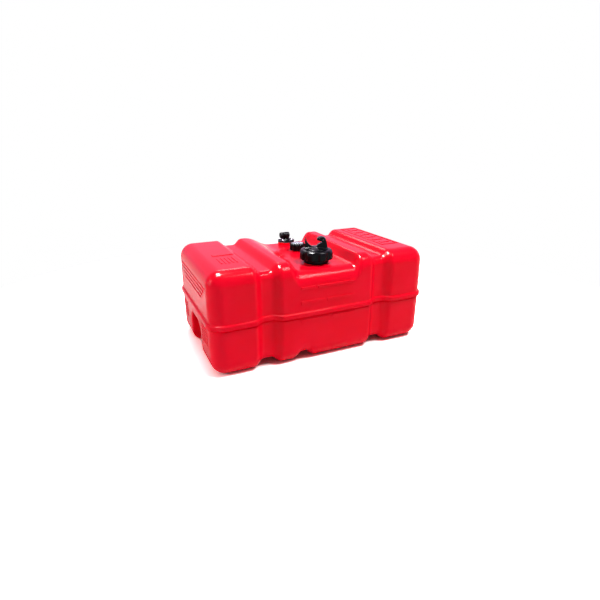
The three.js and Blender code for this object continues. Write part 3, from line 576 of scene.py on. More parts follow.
red = moulded_plastic(
    "red_plastic", (0.92, 0.001, 0.02), (0.86, 0.001, 0.015),
    roughness=0.18, grain_scale=520.0, grain=0.008 * MM, waviness=0.12 * MM, ior=1.17,
)
black = moulded_plastic(
    "black_plastic", (0.003, 0.004, 0.005), (0.002, 0.0025, 0.003),
    roughness=0.22, grain_scale=1400.0, grain=0.012 * MM, level=0.09,
)
seal = rubber("seal_rubber", 0.012)
lens = clear_plastic("clear_lens")
steel = plated_metal("plated_steel", (0.3, 0.3, 0.32))
foam = float_foam("float_foam")
milky = moulded_plastic(
    "tube_plastic", (0.72, 0.71, 0.65), (0.66, 0.65, 0.6),
    roughness=0.4, grain_scale=800.0, grain=0.03 * MM, glow=0.2,
)
needle = moulded_plastic(
    "pointer_plastic", (0.65, 0.012, 0.02), (0.5, 0.01, 0.015),
    roughness=0.35, grain_scale=900.0, grain=0.02 * MM,
)
dial = dial_print("dial_plastic", dial_face_box.middle, dial_face_box.half[0])

LOOKS = {
    "red_plastic": red,
    "black_plastic": black,
    "seal_rubber": seal,
    "clear_lens": lens,
    "dial_plastic": dial,
    "pointer_plastic": needle,
    "plated_steel": steel,
    "float_foam": foam,
    "tube_plastic": milky,
}


def dress_cad_nodes():
    """Gives each CAD node the material of its slot."""
    for part in frame["record"]["subparts"]:
        node = frame["nodes"][part["node"]]
        node.data.materials.clear()
        node.data.materials.append(LOOKS[part["material_slot"]])


# The tank


def skin_axes():
    """The skin's grid, finer in height round the band."""
    low, high = body_box.low, body_box.high
    x, y, _ = grid_axes(low, high, SKIN_STEP)
    start = PARTING_HEIGHT - FINE_BAND[0] * BEAD_HALF_HEIGHT
    end = PARTING_HEIGHT + FINE_BAND[1] * BEAD_HALF_HEIGHT
    below = spaced(low[2] - GRID_MARGIN * SKIN_STEP, start, SKIN_STEP)
    middle = spaced(start, end, SKIN_STEP / FINE_ROWS)
    above = spaced(end, high[2] + GRID_MARGIN * SKIN_STEP, SKIN_STEP)
    return [x, y, np.concatenate([below[:-1], middle, above[1:]])]


# Each hole through the top: its axis and its radius
HOLES = [
    (FILLER_AXIS, 24 * MM),
    (GAUGE_AXIS, 14.5 * MM),
    (PICKUP_AXIS, 14 * MM),
]


def clear_of_holes(middles):
    keep = np.ones(len(middles), dtype=bool)
    for axis, radius in HOLES:
        hole = (radius_from(middles, axis) < radius) & (middles[:, 2] > PARTING_HEIGHT)
        keep &= ~hole
    return keep


def make_skin():
    field_piece(
        "tank_skin", tank_field, body_box.low, body_box.high, SKIN_STEP, red, "tank",
        replaced=["tank_body"], axes=skin_axes(), keep=clear_of_holes,
    )
    field_piece(
        "tank_inner_wall", hollow_field, body_box.low, body_box.high, HOLLOW_STEP, red, "tank",
        keep=clear_of_holes,
    )


NECK_BORE = 22.5 * MM
NECK_RADIUS = 26 * MM
NECK_HEIGHT = 20.5 * MM
COLLAR_RADIUS = 32.5 * MM
COLLAR_HEIGHT = 1 * MM
THREAD_DEPTH = 2 * MM
THREAD_PITCH = 6 * MM
THREAD_TURNS = 1.75
THREAD_START = 6 * MM
THREAD_HALF = 1.3 * MM
THREAD_TAPER = 0.5
NECK_LIP_SOFTNESS = 1.5 * MM
COLLAR_FILLET = 2 * MM


def thread_field(points, axis, start, radius, depth):
    """A helical ridge from one radius to another, positive depth outwards and negative inwards."""
    angle = np.arctan2(points[:, 1] - axis[1], points[:, 0] - axis[0]) % (2 * math.pi)
    along = (points[:, 2] - start) / THREAD_PITCH - angle / (2 * math.pi)
    turn = np.clip(np.round(along), 0, None)
    last = THREAD_TURNS - angle / (2 * math.pi)
    turn = np.minimum(turn, np.floor(np.maximum(last, 0)))
    rise = np.abs(along - turn) * THREAD_PITCH
    reach = (radius_from(points, axis) - radius) * math.copysign(1, depth)
    tapered = rise - THREAD_HALF + THREAD_TAPER * np.clip(reach, -THREAD_HALF, abs(depth))
    return soft_max(np.maximum(tapered, -reach - THREAD_HALF), reach - abs(depth), SMALL_EDGE)


def neck_field(points):
    base = FLOOR_HEIGHT
    wall = disc(points, FILLER_AXIS, NECK_RADIUS, base - WALL, base + NECK_HEIGHT, ROUND_EDGE)
    top = base + COLLAR_HEIGHT
    collar = disc(points, FILLER_AXIS, COLLAR_RADIUS, base - WALL, top, COLLAR_FILLET)
    thread = thread_field(points, FILLER_AXIS, base + THREAD_START, NECK_RADIUS, THREAD_DEPTH)
    solid = soft_min(soft_min(wall, collar, COLLAR_FILLET), thread, MOULDED_EDGE)
    return carve(solid, radius_from(points, FILLER_AXIS) - NECK_BORE, NECK_LIP_SOFTNESS)


BOSS_RADIUS = 17 * MM
BOSS_BORE = 13 * MM
BOSS_HEIGHT = 9 * MM
PAD_RADIUS = 25 * MM
PAD_BORE = 12.5 * MM
PAD_HEIGHT = 7 * MM
BOSS_DEPTH = 8 * MM


def boss_field(axis, radius, bore, height):
    """The field of a round seat that stands up round a hole."""

    def field(points):
        low, high = FLOOR_HEIGHT - BOSS_DEPTH, FLOOR_HEIGHT + height
        solid = disc(points, axis, radius, low, high, ROUND_EDGE)
        return carve(solid, radius_from(points, axis) - bore, ROUND_EDGE)

    return field


def around(axis, radius, low, high):
    """The corners of an upright box round an axis."""
    reach = np.array([radius, radius])
    return np.append(axis[:2] - reach, low), np.append(axis[:2] + reach, high)


def make_bosses():
    gauge_field = boss_field(GAUGE_AXIS, BOSS_RADIUS, BOSS_BORE, BOSS_HEIGHT)
    pad_field = boss_field(PICKUP_AXIS, PAD_RADIUS, PAD_BORE, PAD_HEIGHT)
    for name, field, axis, radius, depth, height in (
        ("filler_neck", neck_field, FILLER_AXIS, COLLAR_RADIUS, WALL, NECK_HEIGHT),
        ("gauge_boss", gauge_field, GAUGE_AXIS, BOSS_RADIUS, BOSS_DEPTH, BOSS_HEIGHT),
        ("pickup_pad", pad_field, PICKUP_AXIS, PAD_RADIUS, BOSS_DEPTH, PAD_HEIGHT),
    ):
        low, high = around(axis, radius, FLOOR_HEIGHT - depth, FLOOR_HEIGHT + height)
        field_piece(name, field, low, high, FINE_STEP, red, "tank")


# Plain raised marks on the moulding, in place of its words

MARK_PROUD = 1.6 * MM
MARK_CORNER = 0.7 * MM
MARK_STEP = 0.6 * MM

# The long bars on the left end: the height and the half length of each
END_BARS = [(215 * MM, 128 * MM), (205 * MM, 120 * MM), (194 * MM, 105 * MM), (183 * MM, 89 * MM)]
END_BAR_HALF_HEIGHT = 2.2 * MM

# The short bars beside its hand hold: their middle, their half length and the height of the top one
END_DASHES = {"front": (-101 * MM, 30 * MM, 110 * MM), "back": (114 * MM, 20 * MM, 104 * MM)}
END_DASH_ROWS = 6
END_DASH_PITCH = 8 * MM
END_DASH_HALF_HEIGHT = 1.5 * MM

# The rows on the front: height, half height and where the row is split
FRONT_ROWS = [(197 * MM, 4 * MM, -34 * MM), (160 * MM, 5 * MM, -8 * MM), (112 * MM, 5 * MM, 6 * MM)]
FRONT_BAR_REACH = 76 * MM
FRONT_BAR_GAP = 4 * MM

TOP_MARK_PROUD = 1.3 * MM
TOP_RULES = 5
TOP_RULE_PITCH = 9.5 * MM
FIRST_RULE = np.array((-245 * MM, -73 * MM, HEIGHT))
TOP_RULE_HALF = (1.6 * MM, 24 * MM, TOP_MARK_PROUD)
TOP_BAR = (-222 * MM, -14 * MM, HEIGHT)
TOP_BAR_HALF = (27 * MM, 9 * MM, TOP_MARK_PROUD)
FRAME_MIDDLE = np.array((237 * MM, 20 * MM, HEIGHT))
FRAME_HALF = np.array((27 * MM, 115 * MM, TOP_MARK_PROUD))
FRAME_RIM = np.array((4 * MM, 4 * MM, 0))
FRAME_STEP = 0.78 * MM
FRAME_BARS = 6
FRAME_BAR_PITCH = 34 * MM
FRAME_BAR_HALF = (14 * MM, 6 * MM, TOP_MARK_PROUD)


def side_lean(height):
    return DRAFT * abs(height - PARTING_HEIGHT)


def make_mark(name, middle, half):
    middle, half = np.array(middle), np.array(half)

    def field(points):
        return rounded_box(points, middle, half, MARK_CORNER)

    field_piece(name, field, middle - half, middle + half, MARK_STEP, red, "tank")


def end_mark(name, y, height, half_length, half_height):
    x = -(LENGTH / 2 - side_lean(height))
    make_mark(name, (x, y, height), (MARK_PROUD, half_length, half_height))


def end_marks():
    """Rows across the left end, and short rows on both sides of its hand hold."""
    for row, (height, half_length) in enumerate(END_BARS):
        end_mark(f"end_bar_{row + 1}", 0, height, half_length, END_BAR_HALF_HEIGHT)
    for side, (y, half_length, top) in END_DASHES.items():
        for row in range(END_DASH_ROWS):
            height = top - row * END_DASH_PITCH
            end_mark(f"end_{side}_dash_{row + 1}", y, height, half_length, END_DASH_HALF_HEIGHT)


def front_marks():
    """Three rows across the front, each of two plain bars."""
    for row, (height, half_height, split) in enumerate(FRONT_ROWS):
        y = -(WIDTH / 2 - side_lean(height))
        ends = ((-FRONT_BAR_REACH, split - FRONT_BAR_GAP), (split + FRONT_BAR_GAP, FRONT_BAR_REACH))
        for side, (start, end) in zip(("left", "right"), ends):
            make_mark(
                f"front_{side}_bar_{row + 1}", ((start + end) / 2, y, height),
                ((end - start) / 2, MARK_PROUD, half_height),
            )


def top_marks():
    """A plain bar and short rules on the left block, and a frame of plain bars on the right one."""
    for row in range(TOP_RULES):
        make_mark(f"top_rule_{row + 1}", FIRST_RULE + (row * TOP_RULE_PITCH, 0, 0), TOP_RULE_HALF)
    make_mark("top_shield", TOP_BAR, TOP_BAR_HALF)

    def frame_field(points):
        flat = np.array((1, 1, 0))
        outside = rounded_box(points, FRAME_MIDDLE, FRAME_HALF, MARK_CORNER)
        inside = rounded_box(points * flat, FRAME_MIDDLE * flat, FRAME_HALF - FRAME_RIM, MARK_CORNER)
        return carve(outside, inside, SMALL_EDGE)

    low, high = FRAME_MIDDLE - FRAME_HALF, FRAME_MIDDLE + FRAME_HALF
    field_piece("top_frame", frame_field, low, high, FRAME_STEP, red, "tank")
    for bar in range(FRAME_BARS):
        along = (bar - (FRAME_BARS - 1) / 2) * FRAME_BAR_PITCH
        make_mark(f"top_frame_bar_{bar + 1}", FRAME_MIDDLE + (0, along, 0), FRAME_BAR_HALF)


# The filler cap and its vent

CAP_SHOULDER_SOFTNESS = 13 * MM
CAP_FLUTES = 8
FLUTE_RADIUS = 12 * MM
FLUTE_DEPTH = 4.5 * MM
FLUTE_HEIGHT = 25.5 * MM
FLUTE_END_SOFTNESS = 3 * MM
FLUTE_RIM_SOFTNESS = 2 * MM
CAP_FOOT_SOFTNESS = 3 * MM
CAP_TOP_THICKNESS = 6 * MM
CAP_HOLLOW_SOFTNESS = 6 * MM
STEM_HOLE_RADIUS = 6.1 * MM
INSERT_WALL = 2 * MM
INSERT_TOP_THICKNESS = 4 * MM
INSERT_HOLE_RADIUS = 4 * MM
SLIP = 0.3 * MM  # between pieces that turn or slide on each other
VENT_ANGLE = math.radians(-25)


def turned_about(points, axis, angle):
    """Points in the frame of something turned about an upright axis, which becomes the origin."""
    x, y = points[:, 0] - axis[0], points[:, 1] - axis[1]
    c, s = math.cos(angle), math.sin(angle)
    return np.stack([c * x + s * y, -s * x + c * y, points[:, 2]], axis=1)


def cap_shell_field(points):
    low, top = shell_box.low[2], shell_box.high[2]
    grip_radius = shell_box.half[0]
    r = radius_from(points, FILLER_AXIS)
    solid = soft_max(r - grip_radius, points[:, 2] - top, CAP_SHOULDER_SOFTNESS)
    solid = soft_max(solid, low - points[:, 2], CAP_FOOT_SOFTNESS)
    local = turned_about(points, FILLER_AXIS, VENT_ANGLE)
    pitch = 2 * math.pi / CAP_FLUTES
    angle = np.arctan2(local[:, 1], local[:, 0])
    folded = (angle + pitch / 2) % pitch - pitch / 2
    across = r * np.sin(folded)
    outward = r * np.cos(folded) - (grip_radius + FLUTE_RADIUS - FLUTE_DEPTH)
    flute = np.hypot(across, outward) - FLUTE_RADIUS
    flute = soft_max(flute, points[:, 2] - (low + FLUTE_HEIGHT), FLUTE_END_SOFTNESS)
    solid = carve(solid, flute, FLUTE_RIM_SOFTNESS)
    ceiling = points[:, 2] - (top - CAP_TOP_THICKNESS)
    hollow = soft_max(r - (insert_box.half[0] + SLIP), ceiling, CAP_HOLLOW_SOFTNESS)
    return carve(carve(solid, hollow, SMALL_EDGE), r - STEM_HOLE_RADIUS, SMALL_EDGE)


def cap_insert_field(points):
    low, top = insert_box.low[2], insert_box.high[2]
    radius = insert_box.half[0]
    r = radius_from(points, FILLER_AXIS)
    bore = radius - INSERT_WALL
    solid = disc(points, FILLER_AXIS, radius, low, top, FULL_EDGE)
    inside = soft_max(r - bore, points[:, 2] - (top - INSERT_TOP_THICKNESS), ROUND_EDGE)
    solid = carve(solid, inside, MOULDED_EDGE)
    start = FLOOR_HEIGHT + THREAD_START + THREAD_PITCH / 2
    thread = thread_field(points, FILLER_AXIS, start, bore, -THREAD_DEPTH)
    solid = soft_min(solid, thread, SMALL_EDGE)
    return carve(solid, r - INSERT_HOLE_RADIUS, SMALL_EDGE)


def outline_field(across, up, corners):
    """The distance to a flat outline, negative inside."""
    count = len(corners)
    nearest = np.full(len(across), np.inf)
    sign = np.ones(len(across))
    for i in range(count):
        (ax, ay), (bx, by) = corners[i], corners[i - 1]
        ex, ey = bx - ax, by - ay
        wx, wy = across - ax, up - ay
        share = np.clip((wx * ex + wy * ey) / (ex * ex + ey * ey), 0, 1)
        nearest = np.minimum(nearest, (wx - ex * share) ** 2 + (wy - ey * share) ** 2)
        above, below, left = up >= ay, up < by, ex * wy > ey * wx
        flips = (above & below & left) | (~above & ~below & ~left)
        sign = np.where(flips, -sign, sign)
    return sign * np.sqrt(nearest)


# The ear's and the fin's outlines: shares of the dial's radius across, and of their height up
EAR_SHARES = [
    (-0.16, -0.15), (0.08, 0.2), (0.26, 0.36), (0.46, 0.45), (0.48, 0.52), (0.3, 0.58), (0.1, 0.65),
    (0.04, 0.78), (0.1, 0.9), (0.24, 0.98), (0.46, 1.0), (0.68, 0.93), (0.82, 0.74), (0.9, 0.4),
    (0.97, -0.15),
]
FIN_SHARES = [
    (-0.98, -0.15), (-0.99, 0.5), (-0.95, 1.0), (-0.9, 0.82), (-0.82, 0.6), (-0.7, 0.4), (-0.52, 0.2),
    (-0.3, 0.06), (-0.12, -0.02), (-0.12, -0.15),
]
DIAL_RADIUS = 30 * MM
DIAL_THICKNESS = 4.2 * MM
DIAL_CROWN = 3 * MM
EAR_HEIGHT = 27.5 * MM
EAR_HALF_THICKNESS = 8.5 * MM
EAR_SOFTNESS = 4 * MM
FIN_HEIGHT = 25 * MM
FIN_HALF_THICKNESS = 4 * MM
FIN_SOFTNESS = 2.5 * MM
GRIP_END_SOFTNESS = 1.5 * MM  # where the ear and the fin end at the dial's edge
GRIP_FILLET = 3 * MM
DIAL_STEP = 0.7 * MM
EAR_HOLLOW_SHARES = (0.5, 0.8)  # its middle, as shares of the dial's radius and the ear's height
EAR_HOLLOW_HALF = (6 * MM, 3.4 * MM)
EAR_HOLLOW_DEPTH = 1.6 * MM
STEM_RADIUS = 5.5 * MM
STEM_SUNK = 2 * MM  # how far under the dial's face the stem ends


def ear_hollow_field(across, through, z, face):
    """A shallow oval hollow in each side of the ear's head."""
    middle_across, middle_up = EAR_HOLLOW_SHARES
    oval = np.hypot(
        (across - middle_across * DIAL_RADIUS) / EAR_HOLLOW_HALF[0],
        (z - face - middle_up * EAR_HEIGHT) / EAR_HOLLOW_HALF[1],
    )
    floor = (EAR_HALF_THICKNESS - EAR_HOLLOW_DEPTH) - np.abs(through)
    return soft_max((oval - 1) * EAR_HOLLOW_HALF[1], floor, SMALL_EDGE)


def vent_dial_field(points):
    local = turned_about(points, FILLER_AXIS, VENT_ANGLE)
    across, through, z = local.T
    low = shell_box.high[2] + SLIP
    face = low + DIAL_THICKNESS
    r = radius_from(points, FILLER_AXIS)
    crown = z - face + DIAL_CROWN * (r / DIAL_RADIUS) ** 2
    reach = r - DIAL_RADIUS
    solid = soft_max(reach, np.maximum(crown, low - z), FULL_EDGE)
    for shares, height, half, softness in (
        (EAR_SHARES, EAR_HEIGHT, EAR_HALF_THICKNESS, EAR_SOFTNESS),
        (FIN_SHARES, FIN_HEIGHT, FIN_HALF_THICKNESS, FIN_SOFTNESS),
    ):
        corners = [(a * DIAL_RADIUS, face + u * height) for a, u in shares]
        plate = soft_max(outline_field(across, z, corners), np.abs(through) - half, softness)
        plate = soft_max(plate, reach, GRIP_END_SOFTNESS)
        solid = soft_min(solid, plate, GRIP_FILLET)
    solid = carve(solid, ear_hollow_field(across, through, z, face), MOULDED_EDGE)
    stem = disc(points, FILLER_AXIS, STEM_RADIUS, dial_box.low[2], face - STEM_SUNK, SMALL_EDGE)
    return soft_min(solid, stem, ROUND_EDGE)


def make_cap():
    field_piece(
        "cap_shell", cap_shell_field, shell_box.low, shell_box.high, FINE_STEP, black, "cap",
        replaced=["cap_grip_shell"],
    )
    field_piece(
        "cap_cup", cap_insert_field, insert_box.low, insert_box.high, FINE_STEP, black, "cap",
        replaced=["cap_insert"],
    )
    low = np.append(FILLER_AXIS[:2] - DIAL_RADIUS, dial_box.low[2])
    high = np.append(FILLER_AXIS[:2] + DIAL_RADIUS, dial_box.high[2])
    field_piece(
        "vent_knob", vent_dial_field, low, high, DIAL_STEP, black, "vent_knob",
        replaced=["vent_dial"],
    )


# The gauge

NUT_LOBES = 10
NUT_LOBE_DEPTH = 3 * MM
NUT_SHOULDER = 8 * MM
NUT_BORE = 17.8 * MM
NUT_LIP = 2.4 * MM
NUT_LIP_THICKNESS = 2 * MM
NUT_STEP = 0.6 * MM


def ring_nut_field(points):
    low, top = nut_box.low[2], nut_box.high[2]
    r = radius_from(points, GAUGE_AXIS)
    angle = np.arctan2(points[:, 1] - GAUGE_AXIS[1], points[:, 0] - GAUGE_AXIS[0])
    outer = nut_box.half[0] - NUT_LOBE_DEPTH * (0.5 - 0.5 * np.cos(NUT_LOBES * angle))
    solid = soft_max(r - outer, points[:, 2] - top, NUT_SHOULDER)
    solid = soft_max(solid, low - points[:, 2], ROUND_EDGE)
    inside = soft_max(r - NUT_BORE, points[:, 2] - (top - NUT_LIP_THICKNESS), CUT_EDGE)
    return carve(carve(solid, inside, SMALL_EDGE), r - (NUT_BORE - NUT_LIP), FULL_EDGE)


LENS_RADIUS = 17 * MM
LENS_DOME_RADIUS = 14.9 * MM
LENS_FLANGE = 1.2 * MM
LENS_CROWN = 0.8 * MM
LENS_SUNK = 1 * MM
LENS_STEP = 0.5 * MM


def lens_field(points):
    low, top = lens_box.low[2], lens_box.high[2]
    flange = disc(points, GAUGE_AXIS, LENS_RADIUS, low, low + LENS_FLANGE, FINE_EDGE)
    r = radius_from(points, GAUGE_AXIS)
    crown = top - LENS_SUNK - LENS_CROWN * (r / LENS_DOME_RADIUS) ** 2
    dome = soft_max(r - LENS_DOME_RADIUS, points[:, 2] - crown, MOULDED_EDGE)
    return np.minimum(flange, soft_max(dome, low - points[:, 2], SHARP_EDGE))


def make_gauge():
    field_piece(
        "gauge_nut", ring_nut_field, nut_box.low, nut_box.high, NUT_STEP, black, "tank",
        replaced=["gauge_ring_nut"],
    )
    field_piece(
        "gauge_window", lens_field, lens_box.low, lens_box.high, LENS_STEP, lens, "tank",
        replaced=["gauge_lens"],
    )


# The pickup

FLANGE_RADIUS = 24.5 * MM
FLANGE_THICKNESS = 3 * MM
POST_RADIUS = 11 * MM
SLEEVE_RADIUS = 7 * MM
SLEEVE_DEPTH = 6 * MM
CHAMBER_OUTER = 11.8 * MM
CHAMBER_RADIUS = 5.2 * MM
SCREW_CIRCLE = 19 * MM
SCREW_HOLE = 2 * MM
POST_FILLET = 3 * MM
FUEL_BORE = 3 * MM
CHAMBER_ROOF = 2 * MM  # how far under the flange the valve's chamber ends


def screw_places():
    for i in range(4):
        angle = (i + 0.5) * math.pi / 2
        yield PICKUP_AXIS[:2] + SCREW_CIRCLE * np.array((math.cos(angle), math.sin(angle)))


def pickup_flange_field(points):
    top = flange_box.high[2]
    bottom, base = flange_box.low[2], gasket_box.high[2] + SLIP
    plate = disc(points, PICKUP_AXIS, FLANGE_RADIUS, base, base + FLANGE_THICKNESS, PLATE_EDGE)
    post = disc(points, PICKUP_AXIS, POST_RADIUS, base, top, PLATE_EDGE)
    chamber = disc(points, PICKUP_AXIS, CHAMBER_OUTER, bottom, base + OVERRUN, MOULDED_EDGE)
    solid = soft_min(soft_min(plate, post, POST_FILLET), chamber, CUT_EDGE)
    r = radius_from(points, PICKUP_AXIS)
    sleeve = np.maximum(r - SLEEVE_RADIUS, (top - SLEEVE_DEPTH) - points[:, 2])
    roof = base - CHAMBER_ROOF
    space = disc(points, PICKUP_AXIS, CHAMBER_RADIUS, bottom - OVERRUN, roof, CUT_EDGE)
    solid = carve(carve(solid, sleeve, MOULDED_EDGE), space, CUT_EDGE)
    for place in screw_places():
        solid = carve(solid, radius_from(points, place) - SCREW_HOLE, FINE_EDGE)
    return carve(solid, r - FUEL_BORE, FINE_EDGE)


SCREW_HEAD = 2.2 * MM
SCREW_HEAD_SOFTNESS = 1.6 * MM
SHANK_RADIUS = 1.6 * MM
SLOT_HALF_WIDTH = 0.45 * MM
SLOT_DEPTH = 1 * MM


def screw_field(points, place, box):
    head_low = box.high[2] - SCREW_HEAD
    head = disc(points, place, box.half[0], head_low, box.high[2], SCREW_HEAD_SOFTNESS)
    shank = disc(points, place, SHANK_RADIUS, box.low[2], head_low + OVERRUN, FULL_EDGE)
    slot_width = np.abs(points[:, 1] - place[1]) - SLOT_HALF_WIDTH
    slot = np.maximum(slot_width, (box.high[2] - SLOT_DEPTH) - points[:, 2])
    return carve(np.minimum(head, shank), slot, SHARP_EDGE)


OUTLET_HEIGHT = dust_cap_box.middle[2]
ELBOW_RADIUS = 9 * MM
ELBOW_FRONT = 9.5 * MM
ELBOW_BACK = 9 * MM
BARB_RADIUS = 4.2 * MM
BARB_RIDGE = 0.9 * MM
SPIGOT_RADIUS = 6.6 * MM
HOSE_BORE = 2.4 * MM
BARB_PITCH = 4 * MM
BARB_NECK = 2 * MM
HEAD_SOFTNESS = 2.4 * MM
HEAD_FILLET = 1.5 * MM
DUST_CAP_SOFTNESS = 3 * MM
DUST_CAP_BORE = 5.6 * MM
DUST_CAP_END = 1.8 * MM
DUST_CAP_OPEN_PAST = 5 * MM
RIBS = 16
RIB_DEPTH = 0.35 * MM
RIB_START = 2 * MM
RIB_RUN = 1.5 * MM
HOSE_STEP = 0.6 * MM
DUST_CAP_STEP = 0.5 * MM


def from_outlet(points):
    """How far points lie along the outlet towards -X, and from its axis to the back and up."""
    x, y, z = points.T
    return PICKUP_AXIS[0] - x, y - PICKUP_AXIS[1], z - OUTLET_HEIGHT


def lying(points, start, end, radius, softness):
    """A round solid on the outlet's axis, between two distances towards -X."""
    along, back, up = from_outlet(points)
    return soft_max(np.hypot(back, up) - radius, np.maximum(along - end, start - along), softness)


def elbow_field(points):
    low = flange_box.high[2] + SLIP
    upright = disc(points, PICKUP_AXIS, ELBOW_RADIUS, low, OUTLET_HEIGHT, ROUND_EDGE)
    head = lying(points, -ELBOW_BACK, ELBOW_FRONT, ELBOW_RADIUS, HEAD_SOFTNESS)
    spigot = disc(points, PICKUP_AXIS, SPIGOT_RADIUS, elbow_box.low[2], low + OVERRUN, CUT_EDGE)
    solid = soft_min(soft_min(upright, head, HEAD_FILLET), spigot, FINE_EDGE)
    reach = PICKUP_AXIS[0] - elbow_box.low[0]
    along, back, up = from_outlet(points)
    saw = np.clip(((reach - along) / BARB_PITCH) % 1.0, 0, 1)
    ridged = BARB_RADIUS + BARB_RIDGE * saw * (along > ELBOW_FRONT + BARB_NECK)
    r = np.hypot(back, up)
    barb = soft_max(r - ridged, np.maximum(along - reach, -along), MOULDED_EDGE)
    solid = soft_min(solid, barb, ROUND_EDGE)
    bore = np.maximum(r - HOSE_BORE, -along - HOSE_BORE)
    riser = np.maximum(radius_from(points, PICKUP_AXIS) - HOSE_BORE, up)
    return carve(carve(solid, bore, FINE_EDGE), riser, FINE_EDGE)


def dust_cap_field(points):
    start = PICKUP_AXIS[0] - dust_cap_box.high[0]
    end = PICKUP_AXIS[0] - dust_cap_box.low[0]
    solid = lying(points, start, end, ELBOW_RADIUS, DUST_CAP_SOFTNESS)
    along, back, up = from_outlet(points)
    ribs = RIB_DEPTH * (0.5 + 0.5 * np.cos(RIBS * np.arctan2(up, back)))
    solid = solid + ribs * smooth_step((along - start - RIB_START) / RIB_RUN)
    inside = lying(points, start - DUST_CAP_OPEN_PAST, end - DUST_CAP_END, DUST_CAP_BORE, SMALL_EDGE)
    return carve(solid, inside, CUT_EDGE)


SPRING_WIRE = 0.45 * MM
SPRING_TURNS = 5
SPRING_CLOSED_TURNS = 0.6  # at each end, where the wire lies level
SPRING_STEPS = 28  # in a turn
WIRE_SIDES = 12


def make_valve_spring():
    """The check valve's spring: a round wire wound in a helix, level at both ends."""
    box = Box("check_spring")
    low, high = box.low[2] + SPRING_WIRE, box.high[2] - SPRING_WIRE
    rings = SPRING_TURNS * SPRING_STEPS + 1
    turn = np.linspace(0, SPRING_TURNS, rings)
    climb = (turn - SPRING_CLOSED_TURNS) / (SPRING_TURNS - 2 * SPRING_CLOSED_TURNS)
    height = low + (high - low) * np.clip(climb, 0, 1)
    angle = 2 * math.pi * turn
    outward = np.stack([np.cos(angle), np.sin(angle), np.zeros(rings)], axis=1)
    path = outward * (box.half[0] - SPRING_WIRE)
    path += np.stack([np.full(rings, PICKUP_AXIS[0]), np.full(rings, PICKUP_AXIS[1]), height], axis=1)
    side = 2 * math.pi * np.arange(WIRE_SIDES) / WIRE_SIDES
    normals = np.cos(side)[None, :, None] * outward[:, None, :]
    normals = normals + np.sin(side)[None, :, None] * np.array((0, 0, 1))
    points = path[:, None, :] + SPRING_WIRE * normals
    faces = []
    for start in range(0, (rings - 1) * WIRE_SIDES, WIRE_SIDES):
        end = start + WIRE_SIDES
        for k in range(WIRE_SIDES):
            after = (k + 1) % WIRE_SIDES
            faces.append((start + k, end + k, end + after, start + after))
    last = (rings - 1) * WIRE_SIDES
    for k in range(WIRE_SIDES // 2 - 1):
        cap = (k, k + 1, WIRE_SIDES - 2 - k, WIRE_SIDES - 1 - k)
        faces.append(cap)
        faces.append(tuple(last + corner for corner in reversed(cap)))
    piece = mesh_piece(
        "valve_spring", points.reshape(-1, 3), np.array(faces), normals.reshape(-1, 3), steel, "tank",
        replaced=["check_spring"],
    )
    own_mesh(piece)


def make_pickup():
    field_piece(
        "pickup_base", pickup_flange_field, flange_box.low, flange_box.high, FINE_STEP, black, "tank",
        replaced=["pickup_flange"],
    )
    for i, place in enumerate(screw_places()):
        node = f"pickup_screw_{i + 1}"
        box = Box(node)

        def field(points, place=place, box=box):
            return screw_field(points, place, box)

        field_piece(
            f"screw_{i + 1}", field, box.low, box.high, FINEST_STEP, steel, "tank",
            replaced=[node],
        )
    make_valve_spring()
    field_piece(
        "hose_elbow", elbow_field, elbow_box.low, elbow_box.high, HOSE_STEP, black, "outlet",
        replaced=["outlet_elbow"],
    )
    field_piece(
        "hose_dust_cap", dust_cap_field, dust_cap_box.low, dust_cap_box.high, DUST_CAP_STEP,
        black, "dust_cap", replaced=["outlet_dust_cap"],
    )


# The camera, the light and the ground

IMAGE_SIZE = 600
FOCAL_PIXELS = 433.0
SENSOR = 36.0
CAMERA_AZIMUTH = math.radians(-25.0)
CAMERA_ELEVATION = math.radians(19.36)
CAMERA_DISTANCE = 1241.7 * MM
LOOK_AT = Vector((0, 0, 129.9 * MM))
LOOK_AT_PIXEL = (299.05, 289.07)


def make_camera():
    data = bpy.data.cameras.new("camera")
    data.sensor_width = SENSOR
    data.lens = SENSOR * FOCAL_PIXELS / IMAGE_SIZE
    data.shift_x = (IMAGE_SIZE / 2 - LOOK_AT_PIXEL[0]) / IMAGE_SIZE
    data.shift_y = (LOOK_AT_PIXEL[1] - IMAGE_SIZE / 2) / IMAGE_SIZE
    camera = bpy.data.objects.new("camera", data)
    bpy.context.scene.collection.objects.link(camera)
    level = math.cos(CAMERA_ELEVATION)
    back = Vector(
        (math.sin(CAMERA_AZIMUTH) * level, -math.cos(CAMERA_AZIMUTH) * level, math.sin(CAMERA_ELEVATION))
    )
    camera.location = LOOK_AT + back * CAMERA_DISTANCE
    camera.rotation_mode = "QUATERNION"
    camera.rotation_quaternion = (-back).to_track_quat("-Z", "Y")
    bpy.context.scene.camera = camera


# Each lamp: its place, its size, its power in watts and whether it lights as well as shines
LAMPS = {
    "overhead": ((-0.15, -0.1, 1.8), (0.25, 0.5), 9, True),
    "front_right": ((0.8, -0.8, 2.05), (0.7, 0.7), 44, True),
    "left_card": ((-1.9, 0.2, 0.8), (0.9, 0.9), 15, True),
    "back_card": ((0.3, 1.7, 1.7), (0.8, 0.6), 12, True),
    "highlight": ((-0.42, 0.05, 1.7), (0.5, 0.5), 230, False),
}
LAMPS_AIM = Vector((0, 0, 0.15))


